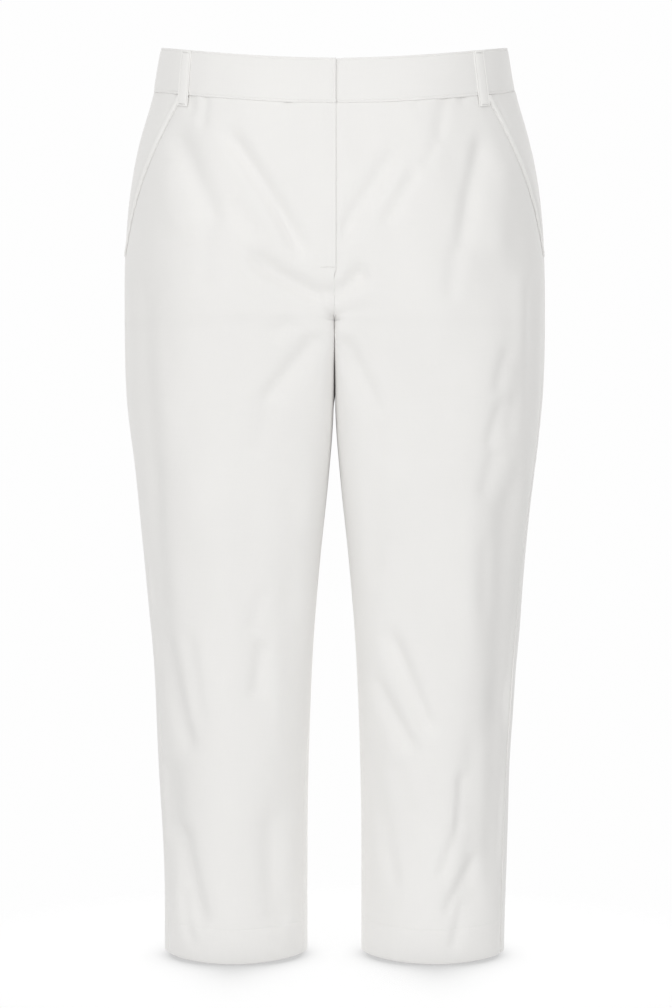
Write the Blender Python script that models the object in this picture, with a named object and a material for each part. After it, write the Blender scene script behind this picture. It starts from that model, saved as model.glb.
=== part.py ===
"""Tapered ankle-length trousers, filled out as if worn, with a fly front, slanted pockets and belt loops.

Millimetres are used for every size below, and each point is scaled to metres when its mesh is made.
X runs to the wearer's left, Y to the back and Z up. The origin is the centre of the waist, at half
the waistband's height at the side seams. Each half of the garment is one run of horizontal outlines,
open at the centre above the crotch and closed round the leg below it.
"""

import functools
import math

import bmesh
import bpy
import numpy as np

METRES = 0.001

# The cloth
CLOTH = 1.2
BAND_CLOTH = 2.2
BAND_PROUD = 0.8
LOOP_CLOTH = 1.3
SEAM_GAP = 0.3
HALF_GAP = SEAM_GAP / 2
HEM_LAYER = 1.3

# Levels, measured at the side of the garment
WAIST_TOP = 24.0
BAND_SEAM = -24.0
LOOP_END = -37.0
POCKET_END = -206.0
FLY_END = -232.0
CROTCH = -289.0
HEM_TURN = -921.0
HEM = -957.0

# The crotch curve, in the plane between the halves
CROTCH_Y = 8.0
FRONT_CURVE_START = -244.0
BACK_CURVE_START = -218.0
CURVE_BLEND = 0.92

# How far the waist leans forward, how much it dips to a point at the centre front, and how far the
# front of the hem hangs lower
WAIST_LEAN = 23.0
WAIST_CURVE = 13.0
WAIST_POINT = 4.5
LEAN_ENDS = -190.0
HEM_DIP = 5.0
HEM_DIP_STARTS = -800.0

# The handles of a quarter arc, as a share of its reach
ROUND = 0.5523
FRONT_FULLNESS = 0.58

# The pocket mouth, a straight slant as seen from the front
POCKET_TOP_X = 164.0
POCKET_EDGE = 7.0
POCKET_EDGE_CLOTH = 1.0
POCKET_UNDER = 10.0
POCKET_SINK = 1.9
POCKET_SINK_RUN = 12.0

# The fly, whose right front lies over the left
FLY_OVER = 1.7
FLY_UNDER = 4.0
FLY_RISE = 0.6
FLY_RISE_RUN = 42.0
FLY_SINK = 0.9
FLY_SINK_RUN = 12.0
FLY_SHIELD_DEPTH = 2.7
FLY_SHIELD_OVER = 34.0
FLY_SHIELD_LEFT = 14.0
BAND_UNDER = 30.0
BAND_RISE = 0.7

# The belt loops, each at a share of the way round its half from the centre front
LOOP_WIDTH = 12.0
LOOP_BOW = 0.9
LOOP_LIFT = 0.35
FRONT_LOOP_SHARE = 0.314
BACK_LOOP_SHARE = 0.745
LOOPS = {
    "belt_loop_front_left": ("left", FRONT_LOOP_SHARE),
    "belt_loop_front_right": ("right", FRONT_LOOP_SHARE),
    "belt_loop_back_left": ("left", BACK_LOOP_SHARE),
    "belt_loop_back_right": ("right", BACK_LOOP_SHARE),
}

# The outline of one half at each level, in millimetres from the centre:
# outer and inner are the sides, front and back the depths, crest the place of the deepest point
# across, middle the place of the widest point, seam how far the side seam lies before it, and
# corner how square the outline is between the centre or inseam and the crest.
SECTION_COLUMNS = ("level", "outer", "inner", "front", "back", "crest", "middle", "seam", "corner")
SECTIONS = (
    (24, 188.0, 0, 136, 138, 28, 0, 8, 0.55),
    (-24, 196.5, 0, 143, 146, 32, 2, 12, 0.55),
    (-70, 209.5, 0, 149, 157, 34, 4, 17, 0.55),
    (-120, 220.0, 0, 153, 167, 37, 6, 21, 0.55),
    (-170, 226.3, 0, 154, 172, 42, 7, 24, 0.56),
    (-220, 229.3, 0, 151, 171, 54, 8, 26, 0.6),
    (-260, 229.5, 0, 144, 163, 76, 8, 27, 0.66),
    (-289, 229.0, 0, 137, 154, 92, 8, 28, 0.7),
    (-330, 227.6, 0.3, 127, 141, 103, 8, 28, 0.69),
    (-381, 224.0, 1.4, 116, 128, 108, 8, 28, 0.65),
    (-447, 217.0, 6.6, 104, 114, 110, 7, 28, 0.6),
    (-534, 207.4, 15.6, 91, 101, 111, 6, 28, 0.56),
    (-621, 199.4, 22.7, 82, 91, 111, 5, 27, 0.55),
    (-709, 193.5, 26.7, 77, 84, 110, 4, 26, 0.55),
    (-795, 189.0, 28.9, 73, 80, 109, 3, 25, 0.55),
    (-883, 185.6, 29.4, 71, 77, 107.5, 3, 24, 0.55),
    (-957, 184.5, 29.4, 70, 75, 107, 3, 24, 0.55),
)

# How far the inseam lies before the leg's inner side
INSEAM_COLUMNS = ("level", "forward")
INSEAM = ((-289, 0), (-340, 9), (-410, 22), (-470, 27), (-957, 27))

# Folds, from a start to an end as seen from that side. A positive depth is a trough.
FOLD_COLUMNS = ("start_x", "start_z", "end_x", "end_z", "depth", "width")
FRONT_FOLDS = (
    (-117, -82, -31, -221, 3.0, 15),
    (-158, -92, -130, -172, 2.4, 14),
    (64, -122, 14, -196, 2.2, 14),
    (150, -84, 124, -212, 3.2, 15),
    (-76, -214, -16, -249, 3.0, 14),
    (-16, -249, 26, -234, 2.4, 13),
    (-8, -304, -52, -368, 4.2, 15),
    (8, -304, 44, -360, 3.4, 15),
    (-192, -330, -182, -560, 2.6, 16),
    (172, -420, 168, -860, 3.8, 16),
    (150, -520, 154, -700, -2.0, 18),
    (176, -366, 158, -462, 2.0, 14),
    (58, -640, 104, -722, 2.6, 15),
    (146, -672, 128, -812, 2.4, 15),
    (138, -862, 122, -945, 2.2, 14),
    (40, -768, 62, -880, 2.4, 15),
    (-180, -606, -148, -740, 2.6, 15),
    (-172, -796, -138, -906, 2.8, 15),
    (-70, -770, -64, -890, 2.4, 16),
    (-76, -606, -88, -680, 2.0, 15),
    (-118, -480, -112, -880, -1.6, 26),
    (98, -420, 104, -640, -1.4, 26),
)
BACK_FOLDS = (
    (-150, -92, -96, -206, 2.8, 15),
    (146, -98, 100, -214, 3.0, 15),
    (-30, -238, -96, -276, 3.0, 15),
    (28, -242, 90, -284, 3.0, 15),
    (-22, -322, -100, -362, 3.8, 16),
    (24, -328, 92, -374, 3.4, 16),
    (-184, -350, -172, -560, 2.8, 16),
    (186, -360, 174, -590, 2.6, 16),
    (-60, -556, -132, -606, 3.0, 15),
    (56, -570, 126, -624, 3.2, 15),
    (-146, -626, -74, -682, 2.4, 15),
    (150, -640, 82, -702, 2.4, 15),
    (-160, -744, -128, -884, 2.6, 15),
    (154, -760, 124, -892, 2.8, 15),
    (-56, -784, -74, -900, 2.2, 15),
    (60, -800, 76, -906, 2.2, 15),
    (-108, -430, -106, -560, -1.8, 26),
    (106, -440, 104, -570, -1.8, 26),
)
FOLD_FADE = 24.0

# The rows and columns of a trouser leg's panels. The columns are spread evenly on each side of a
# line down the crest of the leg.
PANEL_LEVELS = (
    BAND_SEAM - HALF_GAP, LOOP_END - 1.5, -54, -72, -91, -110, -130, -150, -170, -189,
    POCKET_END + 3, POCKET_END, -219, FLY_END, FLY_END - 3, FLY_END - 12, -255, -265, -274,
    -281, -286, -288.4, CROTCH, -294, -304, -319, -339, -362, -390, -420, -453, -486, -519,
    -552, -585, -618, -651, -684, -717, -750, -783, -816, -849, -884, HEM_TURN + 0.6,
    HEM_TURN, -939, HEM,
)
CREST_LINE_X = 100.0
INNER_COLUMNS = 7
OUTER_COLUMNS = 7
FLY_COLUMN = 9.0
KEPT_FROM = -248.0

CLOTH_COLOUR = (0.865, 0.856, 0.838)
TRIM_COLOUR = (0.885, 0.877, 0.86)
INSIDE_COLOUR = (0.83, 0.822, 0.805)


def clear_scene():
    for obj in list(bpy.data.objects):
        bpy.data.objects.remove(obj)


def smooth(share):
    """Eases a share from 0 to 1."""
    t = np.clip(share, 0.0, 1.0)
    return t * t * (3 - 2 * t)


def eased_column(table, column, level):
    """A column of a table at any level, on a curve through its rows."""
    levels = np.array([-row[0] for row in table], float)
    values = np.array([row[column] for row in table], float)
    slopes = np.gradient(values, levels)
    here = min(max(-level, levels[0]), levels[-1])
    i = int(min(max(np.searchsorted(levels, here) - 1, 0), len(levels) - 2))
    span = levels[i + 1] - levels[i]
    t = (here - levels[i]) / span
    a, b = values[i], values[i + 1]
    ta, tb = slopes[i] * span, slopes[i + 1] * span
    return a + t * (ta + t * (3 * (b - a) - 2 * ta - tb + t * (2 * (a - b) + ta + tb)))


def bezier(a, handle_a, handle_b, b, steps=24):
    """Points along one cubic curve, without its last point."""
    t = np.arange(steps)[:, None] / steps
    ends = (1 - t) ** 3 * a + t**3 * b
    return ends + 3 * (1 - t) ** 2 * t * handle_a + 3 * (1 - t) * t**2 * handle_b


def cut_curve(curve, y):
    """The handles of a quarter arc's last part, from where it reaches y."""
    path = bezier(*curve, steps=64)
    t = float(np.interp(abs(y - CROTCH_Y), np.abs(path[:, 1] - CROTCH_Y), np.arange(64) / 64))
    ab, bc, cd = (curve[i] + (curve[i + 1] - curve[i]) * t for i in range(3))
    return [np.array([0.0, y]), bc + (cd - bc) * t, cd, curve[3]]


class Outline:
    """One half's outline at a level, from the centre front or inseam round to the centre back."""

    def __init__(self, level):
        row = {name: eased_column(SECTIONS, i, level) for i, name in enumerate(SECTION_COLUMNS)}
        self.level = level
        self.closed = level <= CROTCH
        self.outer, self.front, self.back = row["outer"], row["front"], row["back"]
        front = self.centre_arc(row, -row["front"], FRONT_CURVE_START)
        back = self.centre_arc(row, row["back"], BACK_CURVE_START)
        side = np.array([row["outer"], row["middle"]])
        reach = row["outer"] - row["crest"]
        front_reach = row["front"] + row["middle"]
        back_reach = row["back"] - row["middle"]
        self.points = np.concatenate([
            bezier(*front),
            bezier(front[3], front[3] + [FRONT_FULLNESS * reach, 0],
                   side - [0, ROUND * front_reach], side),
            bezier(side, side + [0, ROUND * back_reach], back[3] + [ROUND * reach, 0], back[3]),
            bezier(*back[::-1]),
            back[0][None],
        ])
        self.run = np.concatenate([[0], np.cumsum(np.linalg.norm(np.diff(self.points, axis=0), axis=1))])
        self.length = self.run[-1]
        side_run = self.run[2 * 24]
        self.side_seam = side_run - row["seam"]
        self.inseam = eased_column(INSEAM, 1, level) if self.closed else 0.0

    def centre_arc(self, row, depth, begins):
        """The handles of the arc from the centre or inner side to the crest, in front or behind."""
        crest = np.array([row["crest"], depth])
        inward = np.array([row["corner"] * (row["crest"] - row["inner"]), 0])
        inner = np.array([row["inner"], row["middle"] if self.closed else CROTCH_Y])
        leg = [inner, inner + [0, row["corner"] * (depth - inner[1])], crest - inward, crest]
        if self.closed:
            return leg
        share = min(max((begins - self.level) / (begins - CROTCH), 0.0), 1.0)
        centre = np.array([0.0, CROTCH_Y + (depth - CROTCH_Y) * math.sqrt(1 - share**2)])
        flat = [centre, centre + [0.4 * row["crest"], 0], crest - inward, crest]
        weight = float(smooth(share / CURVE_BLEND))
        return [a * (1 - weight) + b * weight for a, b in zip(flat, cut_curve(leg, centre[1]))]

    def at(self, distance):
        """Points at distances along the outline. Before the centre front they are the other half's."""
        distance = np.asarray(distance, float)
        mirrored = (distance < 0) & (not self.closed)
        along = np.where(mirrored, -distance, distance)
        if self.closed:
            along = np.mod(along, self.length)
        x = np.interp(along, self.run, self.points[:, 0])
        y = np.interp(along, self.run, self.points[:, 1])
        return np.where(mirrored, -x, x), y

    def front_at(self, x):
        """The distance along the front at which the outline reaches x."""
        return float(np.interp(x, self.points[:49, 0], self.run[:49]))

    def back_at(self, x):
        """The distance at which the outline reaches x on its way back to the centre."""
        return float(np.interp(x, self.points[:47:-1, 0], self.run[:47:-1]))


@functools.lru_cache(maxsize=None)
def outline(level):
    return Outline(level)


def base_points(level, distance):
    """Points of the left half's smooth surface, in millimetres."""
    here = outline(level)
    x, y = here.at(distance)
    facing = np.where(y < 0, -y / here.front, -y / here.back)
    lean = smooth((level - LEAN_ENDS) / (BAND_SEAM - LEAN_ENDS))
    dip = smooth((HEM_DIP_STARTS - level) / (HEM_DIP_STARTS - HEM))
    point = WAIST_POINT * np.abs(x) / here.outer * np.maximum(facing, 0) ** 2
    z = level - lean * (WAIST_LEAN * facing + WAIST_CURVE * facing**2 - point)
    z = z - dip * HEM_DIP / 2 * (facing + facing**2)
    return np.stack([x + HALF_GAP, y, z], axis=-1)


def base_normals(level, distance):
    """The directions that point out of the cloth."""
    step = 0.5
    low, high = level - step, level + step
    if level == CROTCH:
        low, high = level - step, level
    along = base_points(level, distance + step) - base_points(level, distance - step)
    if not outline(level).closed:
        ahead = base_points(level, distance + step) - base_points(level, distance)
        along = np.where((np.abs(distance) < step)[:, None], ahead, along)
    up = base_points(high, distance) - base_points(low, distance)
    normal = np.cross(along, up)
    return normal / np.linalg.norm(normal, axis=1)[:, None]


def fold_depth(x, z, folds):
    """How far the cloth is pushed in at each place, seen from the front or the back."""
    depth = np.zeros_like(x)
    for fold in folds:
        row = dict(zip(FOLD_COLUMNS, fold))
        start = np.array([row["start_x"], row["start_z"]])
        run = np.array([row["end_x"], row["end_z"]]) - start
        offset = np.stack([x, z], axis=-1) - start
        share = offset @ run / (run @ run)
        nearest = np.clip(share, 0, 1)
        away = np.linalg.norm(offset - nearest[:, None] * run, axis=1)
        taper = 0.35 + 0.65 * np.sin(np.pi * np.clip(0.15 + 0.75 * share, 0, 1))
        depth += row["depth"] * taper * np.exp(-((away / row["width"]) ** 2))
    return depth


class Sheet:
    """A run of rows of points on one half, which can be moved out along the cloth's normals."""

    def __init__(self, side, levels, distances, lift, folds=None, fades=None):
        """Distances holds one row of places round the outline for each level."""
        sign = 1 if side == "left" else -1
        points, normals = [], []
        for i, level in enumerate(levels):
            where = np.asarray(distances[i], float)
            point = base_points(level, where)
            normal = base_normals(level, where)
            raised = lift(level, where)
            if folds:
                pushed = fold_depth(sign * point[:, 0], point[:, 2], folds)
                raised = raised - pushed * fades[i]
            points.append((point + normal * raised[:, None]) * [sign, 1, 1])
            normals.append(normal * [sign, 1, 1])
        self.points = np.array(points)
        self.normals = np.array(normals)

    def moved(self, out):
        """The same points moved out by a distance, or by one distance for each row."""
        shift = np.broadcast_to(np.reshape(out, (-1, 1, 1)), (len(self.points), 1, 1))
        return self.points + self.normals * shift


def make_material(name, colour):
    material = bpy.data.materials.new(name)
    material.use_nodes = True
    shader = material.node_tree.nodes["Principled BSDF"]
    shader.inputs["Base Color"].default_value = (*colour, 1)
    shader.inputs["Roughness"].default_value = 0.85
    shader.inputs["Metallic"].default_value = 0
    return material


def wall(name, outer, inner, colour, home):
    """A closed cloth wall between an outer and an inner net of points of the same size."""
    rows, columns = outer.shape[0] - 1, outer.shape[1] - 1
    net = bmesh.new()
    bmesh.ops.create_grid(net, x_segments=columns, y_segments=rows, size=0.5)
    place = net.verts.layers.int.new("place")
    for vert in net.verts:
        column = round((vert.co.x + 0.5) * columns)
        row = round((vert.co.y + 0.5) * rows)
        vert[place] = row * (columns + 1) + column
    outer_points = outer.reshape(-1, 3) * METRES
    inner_points = inner.reshape(-1, 3) * METRES
    for vert in net.verts:
        vert.co = outer_points[vert[place]]
    backing = bmesh.ops.extrude_face_region(net, geom=net.faces[:], use_keep_orig=True)
    for item in backing["geom"]:
        if isinstance(item, bmesh.types.BMVert):
            item.co = inner_points[item[place]]
    bmesh.ops.recalc_face_normals(net, faces=net.faces[:])
    mesh = bpy.data.meshes.new(name)
    net.to_mesh(mesh)
    net.free()
    mesh.materials.append(make_material(name, colour))
    mesh.shade_smooth()
    mesh.set_sharp_from_angle(angle=math.radians(40))
    obj = bpy.data.objects.new(name, mesh)
    home.objects.link(obj)
    return obj


def pocket_mouth(level):
    """The distance round the outline to the pocket's slanted mouth."""
    here, lowest = outline(level), outline(POCKET_END)
    share = (BAND_SEAM - level) / (BAND_SEAM - POCKET_END)
    end_x = float(lowest.at(lowest.side_seam)[0])
    x = POCKET_TOP_X + (end_x - POCKET_TOP_X) * share
    return min(here.front_at(x), here.side_seam - HALF_GAP)


def front_edge(level):
    """The distance to the front panel's outer edge: the pocket mouth, then the side seam."""
    if level > POCKET_END:
        return pocket_mouth(level)
    return outline(level).side_seam - HALF_GAP


def above_fly_end(level):
    """1 beside the fly, fading out just below it."""
    return float(smooth((level - (FLY_END - 12)) / 9))


def front_start(side, level):
    """The distance to the front panel's inner edge: the fly, the crotch seam, then the inseam."""
    if level >= FLY_END:
        return -FLY_OVER if side == "right" else -FLY_UNDER
    if outline(level).closed:
        return outline(level).inseam + HALF_GAP
    return 0.0


def fly_lift(side, level, distance):
    """The right front stands proud at the fly, and the left front dips under it."""
    if side == "right":
        return FLY_RISE * above_fly_end(level) * (1 - smooth(distance / FLY_RISE_RUN))
    return -FLY_SINK * above_fly_end(level) * (1 - smooth((distance - 1) / FLY_SINK_RUN))


def fly_fade(level, distance):
    """Folds die out beside the fly, where one front lies flat on the other."""
    return 1 - above_fly_end(level) * (1 - smooth((distance - 4) / 14))


def seam_fade(distance, first, last):
    """Folds die out towards a panel's seams."""
    return smooth((distance - first) / FOLD_FADE) * smooth((last - distance) / FOLD_FADE)


def inner_columns(level, span, leg_span):
    """Columns between the centre or inseam and the crest line, as distances from the first.

    Near the crotch they keep their places on the leg, and only the first ones close up.
    """
    even = np.linspace(FLY_COLUMN, span, INNER_COLUMNS)
    if level <= CROTCH:
        return even
    step = np.arange(INNER_COLUMNS)
    kept = span - (leg_span - FLY_COLUMN) * (1 - step / (INNER_COLUMNS - 1))
    kept = np.maximum(kept, 4 + 6 * step)
    weight = smooth((KEPT_FROM - level) / (KEPT_FROM - CROTCH - 5))
    return even * (1 - weight) + kept * weight


def front_sheet(side):
    rows, fades = [], []
    leg = outline(CROTCH)
    for level in PANEL_LEVELS:
        first, last = front_start(side, level), front_edge(level)
        crest = outline(level).front_at(CREST_LINE_X)
        inner = first + inner_columns(level, crest - first, leg.front_at(CREST_LINE_X))
        outer = np.linspace(crest, last - POCKET_EDGE, OUTER_COLUMNS)[1:]
        row = np.concatenate([[first], inner, outer, [last]])
        rows.append(row)
        centre = first - FOLD_FADE if level > CROTCH else first
        flat_end = last - POCKET_UNDER - 2 if level >= POCKET_END else last
        fades.append(seam_fade(row, centre, flat_end) * fly_fade(level, row))
    lift = functools.partial(fly_lift, side)
    return Sheet(side, PANEL_LEVELS, rows, lift, FRONT_FOLDS, fades)


def back_sheet(side):
    rows, fades = [], []
    leg = outline(CROTCH)
    for level in PANEL_LEVELS:
        here = outline(level)
        first = here.side_seam + HALF_GAP
        last = here.length + here.inseam - HALF_GAP if here.closed else here.length
        crest = here.back_at(CREST_LINE_X)
        outer = np.linspace(first, crest, OUTER_COLUMNS + 1)
        inner = last - inner_columns(level, last - crest, leg.length - leg.back_at(CREST_LINE_X))
        row = np.concatenate([outer, inner[-2::-1], [last]])
        rows.append(row)
        centre = last + FOLD_FADE if level > CROTCH else last
        fades.append(seam_fade(row, first, centre))
    return Sheet(side, PANEL_LEVELS, rows, lambda level, distance: 0 * distance, BACK_FOLDS, fades)


def hem_thickness():
    """The wall of each row: one layer, and two where the hem is turned up."""
    return [CLOTH + (HEM_LAYER if level <= HEM_TURN else 0) for level in PANEL_LEVELS]


def make_panels(side, home):
    layers = -np.array(hem_thickness())
    front, back = front_sheet(side), back_sheet(side)
    wall(f"front_{side}", front.points, front.moved(layers), CLOTH_COLOUR, home)
    wall(f"back_{side}", back.points, back.moved(layers), CLOTH_COLOUR, home)
    return front


def make_pocket_edge(side, front, home):
    """The turned and topstitched edge of the pocket mouth, made from the panel's last two columns."""
    last = PANEL_LEVELS.index(POCKET_END)
    strip = front.points[1:last + 1, -2:]
    normals = front.normals[1:last + 1, -2:]
    top = strip + normals * (SEAM_GAP + POCKET_EDGE_CLOTH)
    wall(f"pocket_edge_{side}", top, strip + normals * SEAM_GAP, TRIM_COLOUR, home)


def make_pocket_facing(side, home):
    """The hip piece behind the pocket mouth, sunk under the front panel and level at the side seam."""
    levels = [level for level in PANEL_LEVELS if level > POCKET_END]
    columns = 7

    def lift(level, distance):
        beyond = distance - pocket_mouth(level)
        return -POCKET_SINK * (1 - smooth((beyond - 2) / POCKET_SINK_RUN))

    rows = []
    for level in levels:
        rows.append(np.linspace(pocket_mouth(level) - POCKET_UNDER,
                                outline(level).side_seam - HALF_GAP, columns))
    facing = Sheet(side, levels, rows, lift)
    wall(f"pocket_facing_{side}", facing.points, facing.moved(-CLOTH), CLOTH_COLOUR, home)


def make_fly_shield(home):
    """The shield behind the fly, sewn to the left front."""
    levels = [level for level in PANEL_LEVELS if level >= FLY_END]
    rows = [np.linspace(-FLY_SHIELD_OVER, FLY_SHIELD_LEFT, 7) for _ in levels]
    fades = [fly_fade(level, np.abs(row)) for level, row in zip(levels, rows)]
    shield = Sheet("left", levels, rows, lambda level, distance: 0 * distance - FLY_SHIELD_DEPTH,
                   FRONT_FOLDS, fades)
    wall("fly_shield", shield.points, shield.moved(-CLOTH), INSIDE_COLOUR, home)


def band_levels(segments=2):
    return np.linspace(WAIST_TOP, BAND_SEAM + HALF_GAP, segments + 1)


def make_band_fronts(home):
    """The front waistband, whose right end lies over the left one."""
    def lift_right(level, distance):
        return BAND_PROUD + BAND_RISE * (1 - smooth(distance / FLY_RISE_RUN))

    def lift_left(level, distance):
        under = lift_right(level, np.maximum(-distance, 0)) - BAND_CLOTH - SEAM_GAP - 0.1
        level_share = smooth((distance - 1) / FLY_SINK_RUN)
        return under * (1 - level_share) + BAND_PROUD * level_share

    starts = {"left": np.array([-BAND_UNDER, -14, -2, 4, 9, 14]), "right": np.array([-FLY_OVER, 8, 22])}
    for side, lift in (("left", lift_left), ("right", lift_right)):
        rows = []
        for level in band_levels():
            last = outline(level).side_seam - HALF_GAP
            rest = np.linspace(starts[side][-1], last, 13)[1:]
            rows.append(np.concatenate([starts[side], rest]))
        band = Sheet(side, band_levels(), rows, lift)
        wall(f"waistband_front_{side}", band.points, band.moved(-BAND_CLOTH), CLOTH_COLOUR, home)


def make_band_back(home):
    """The back waistband in one piece, from side seam to side seam."""
    halves = []
    for side in ("left", "right"):
        rows = []
        for level in band_levels():
            here = outline(level)
            rows.append(np.linspace(here.side_seam + HALF_GAP, here.length, 13))
        halves.append(Sheet(side, band_levels(), rows, lambda level, distance: 0 * distance + BAND_PROUD))
    left, right = halves
    centre_out = (left.points[:, -1:] + right.points[:, -1:]) / 2
    inner_left, inner_right = left.moved(-BAND_CLOTH), right.moved(-BAND_CLOTH)
    centre_in = (inner_left[:, -1:] + inner_right[:, -1:]) / 2
    outer = np.concatenate([left.points[:, :-1], centre_out, right.points[:, -2::-1]], axis=1)
    inner = np.concatenate([inner_left[:, :-1], centre_in, inner_right[:, -2::-1]], axis=1)
    wall("waistband_back", outer, inner, CLOTH_COLOUR, home)


def loop_levels():
    """Rows of a belt loop from the waist's top edge to just below the band."""
    return (WAIST_TOP - 1, 20, 12, 0, -12, -20, BAND_SEAM - 1, LOOP_END + 0.6)


def loop_lift(level):
    """The loop stands off the band in the middle and lies down at both ends."""
    share = (level - LOOP_END) / (WAIST_TOP - LOOP_END)
    return BAND_PROUD + LOOP_LIFT + LOOP_BOW * math.sin(math.pi * share) ** 0.7


def make_loop(name, side, share, home):
    """A belt loop: a narrow folded strip, tacked at the top and below the band."""
    rows = []
    for level in loop_levels():
        centre = outline(level).length * share
        rows.append(centre + np.array([-0.5, 0, 0.5]) * LOOP_WIDTH)
    loop = Sheet(side, loop_levels(), rows, lambda level, distance: 0 * distance + loop_lift(level))
    wall(name, loop.moved(LOOP_CLOTH), loop.points, TRIM_COLOUR, home)


def make_centre_loop(home):
    """The loop at the centre back, which crosses from one half to the other."""
    rows = [outline(level).length - np.array([LOOP_WIDTH / 2, 0.0]) for level in loop_levels()]
    half = Sheet("left", loop_levels(), rows, lambda level, distance: 0 * distance + loop_lift(level))

    def across(points):
        centre = points[:, 1:] * [0, 1, 1]
        return np.concatenate([points[:, :1], centre, points[:, :1] * [-1, 1, 1]], axis=1)

    wall("belt_loop_centre_back", across(half.moved(LOOP_CLOTH)), across(half.points), TRIM_COLOUR, home)


def build():
    clear_scene()
    home = bpy.data.collections.new("trousers")
    bpy.context.scene.collection.children.link(home)
    for side in ("left", "right"):
        front = make_panels(side, home)
        make_pocket_edge(side, front, home)
        make_pocket_facing(side, home)
    make_fly_shield(home)
    make_band_fronts(home)
    make_band_back(home)
    for name, (side, share) in LOOPS.items():
        make_loop(name, side, share, home)
    make_centre_loop(home)


build()
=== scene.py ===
"""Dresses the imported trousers: fine cloth with its folds and seams, stitching, floor, light and camera."""

import collections
import functools
import math

import bpy
import numpy as np
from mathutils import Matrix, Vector


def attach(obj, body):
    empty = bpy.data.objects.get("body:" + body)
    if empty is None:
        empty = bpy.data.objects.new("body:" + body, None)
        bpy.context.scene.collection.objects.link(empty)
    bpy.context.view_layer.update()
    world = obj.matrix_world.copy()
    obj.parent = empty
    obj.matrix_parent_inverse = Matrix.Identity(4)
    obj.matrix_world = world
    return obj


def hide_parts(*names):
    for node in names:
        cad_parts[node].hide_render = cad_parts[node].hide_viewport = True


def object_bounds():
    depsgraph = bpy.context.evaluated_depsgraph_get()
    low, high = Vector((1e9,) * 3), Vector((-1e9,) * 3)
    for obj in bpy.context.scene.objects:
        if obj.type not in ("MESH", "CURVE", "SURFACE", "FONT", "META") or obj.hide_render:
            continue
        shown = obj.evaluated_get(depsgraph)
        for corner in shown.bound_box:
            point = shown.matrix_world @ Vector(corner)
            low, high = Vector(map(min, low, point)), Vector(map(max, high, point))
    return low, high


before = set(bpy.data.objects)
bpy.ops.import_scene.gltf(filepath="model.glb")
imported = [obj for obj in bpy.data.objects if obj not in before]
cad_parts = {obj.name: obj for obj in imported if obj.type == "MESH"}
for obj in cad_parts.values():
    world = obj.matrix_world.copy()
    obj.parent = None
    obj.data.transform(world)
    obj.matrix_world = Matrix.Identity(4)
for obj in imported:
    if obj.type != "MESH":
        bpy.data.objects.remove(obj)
cad_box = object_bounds()

METRES = 0.001
SIDES = ("left", "right")

# Cloth thicknesses, how far the waistband stands proud, the gaps at seams and the hem's turned-up
# layer, in millimetres like every size down to the camera
CLOTH = 1.2
BAND_CLOTH = 2.2
BAND_PROUD = 0.28
LOOP_CLOTH = 0.9
HALF_GAP = 0.02
SEAM_GAP = 0.03
HEM_LAYER = 1.3
HEM_LAYER_TOP = 1.5
HEM_LAYER_STEP = 0.7

# Levels, measured at the side of the garment
WAIST_TOP = 24.0
BAND_SEAM = -24.0
LOOP_END = -37.0
POCKET_END = -206.0
FLY_END = -232.0
CROTCH = -289.0
HEM_TURN = -921.0
HEM = -957.0

# The crotch curve, in the plane between the halves
CROTCH_Y = 8.0
FRONT_CURVE_START = -230.0
FRONT_CURVE_POWER = 7.5
BACK_CURVE_START = -218.0
BACK_CURVE_POWER = 2.0
CURVE_BLEND = 0.92

# Just below the crotch the legs press together, and the line between them bends aside
PRESS_BEND = 2.6
PRESS_LEVELS = (-274, -292, -346, -372)
PRESS_Y = -34.0
PRESS_RUN = 34.0
PRESS_REACH = 30.0

# How the waist leans and dips, and how the hem hangs lower in front
WAIST_LEAN = 23.0
WAIST_CURVE = 13.0
WAIST_POINT = 4.5
LEAN_ENDS = -190.0
HEM_DIP = 5.0
HEM_DIP_STARTS = -800.0

# The handles of a quarter arc, as a share of its reach, and of the flatter one above the crotch. Then
# how many points lie along each arc and the wall at the centre or inseam, and which lies at the side
ROUND = 0.5523
FLAT_ROUND = 0.4
ARC_STEPS = 80
WALL_STEPS = 16
SIDE_POINT = WALL_STEPS + 2 * ARC_STEPS

# The pocket: its mouth's line, the hollow beside its stitched edge, that edge, and the facing under it
POCKET_TOP_X = 164.0
POCKET_BOW = 8.0
POCKET_HOLLOW = 0.2
POCKET_HOLLOW_AWAY = 0.7
POCKET_HOLLOW_REACH = 1.3
POCKET_EDGE = 8.6
POCKET_EDGE_LEVELS = (BAND_SEAM - 0.9, POCKET_END + 0.5)
POCKET_EDGE_CLOTH = 0.75
POCKET_EDGE_LIFT = 0.1
POCKET_EDGE_CROWN = 0.45
POCKET_UNDER = 10.0
POCKET_SINK = 2.5
POCKET_SINK_FROM = 2.0
POCKET_SINK_RUN = 12.0
POCKET_STITCH_IN = 1.5

# The fly, whose right front lies over the left: how far each front reaches over the centre and stands
# out or in beside it, from where and how soon, and how far folds stay clear of it
FLY_OVER = 1.7
FLY_UNDER = 4.0
FLY_LAP_RUN = 5.0
FLY_RISE = 0.6
FLY_RISE_RUN = 42.0
FLY_SINK = 0.9
FLY_SINK_FROM = 1.0
FLY_SINK_RUN = 12.0
FLY_LIFT = {"right": (FLY_RISE, 0.0, FLY_RISE_RUN), "left": (-FLY_SINK, FLY_SINK_FROM, FLY_SINK_RUN)}
FLY_FADE_END = FLY_END - 12
FLY_FADE_RUN = 9.0
FLY_FLAT = 2.0
FLY_FLAT_RUN = 10.0
FLY_SHIELD_DEPTH = 2.7
FLY_SHIELD_OVER = 34.0
FLY_SHIELD_LEFT = 14.0
FLY_SHIELD_END = FLY_END + 1

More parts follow.
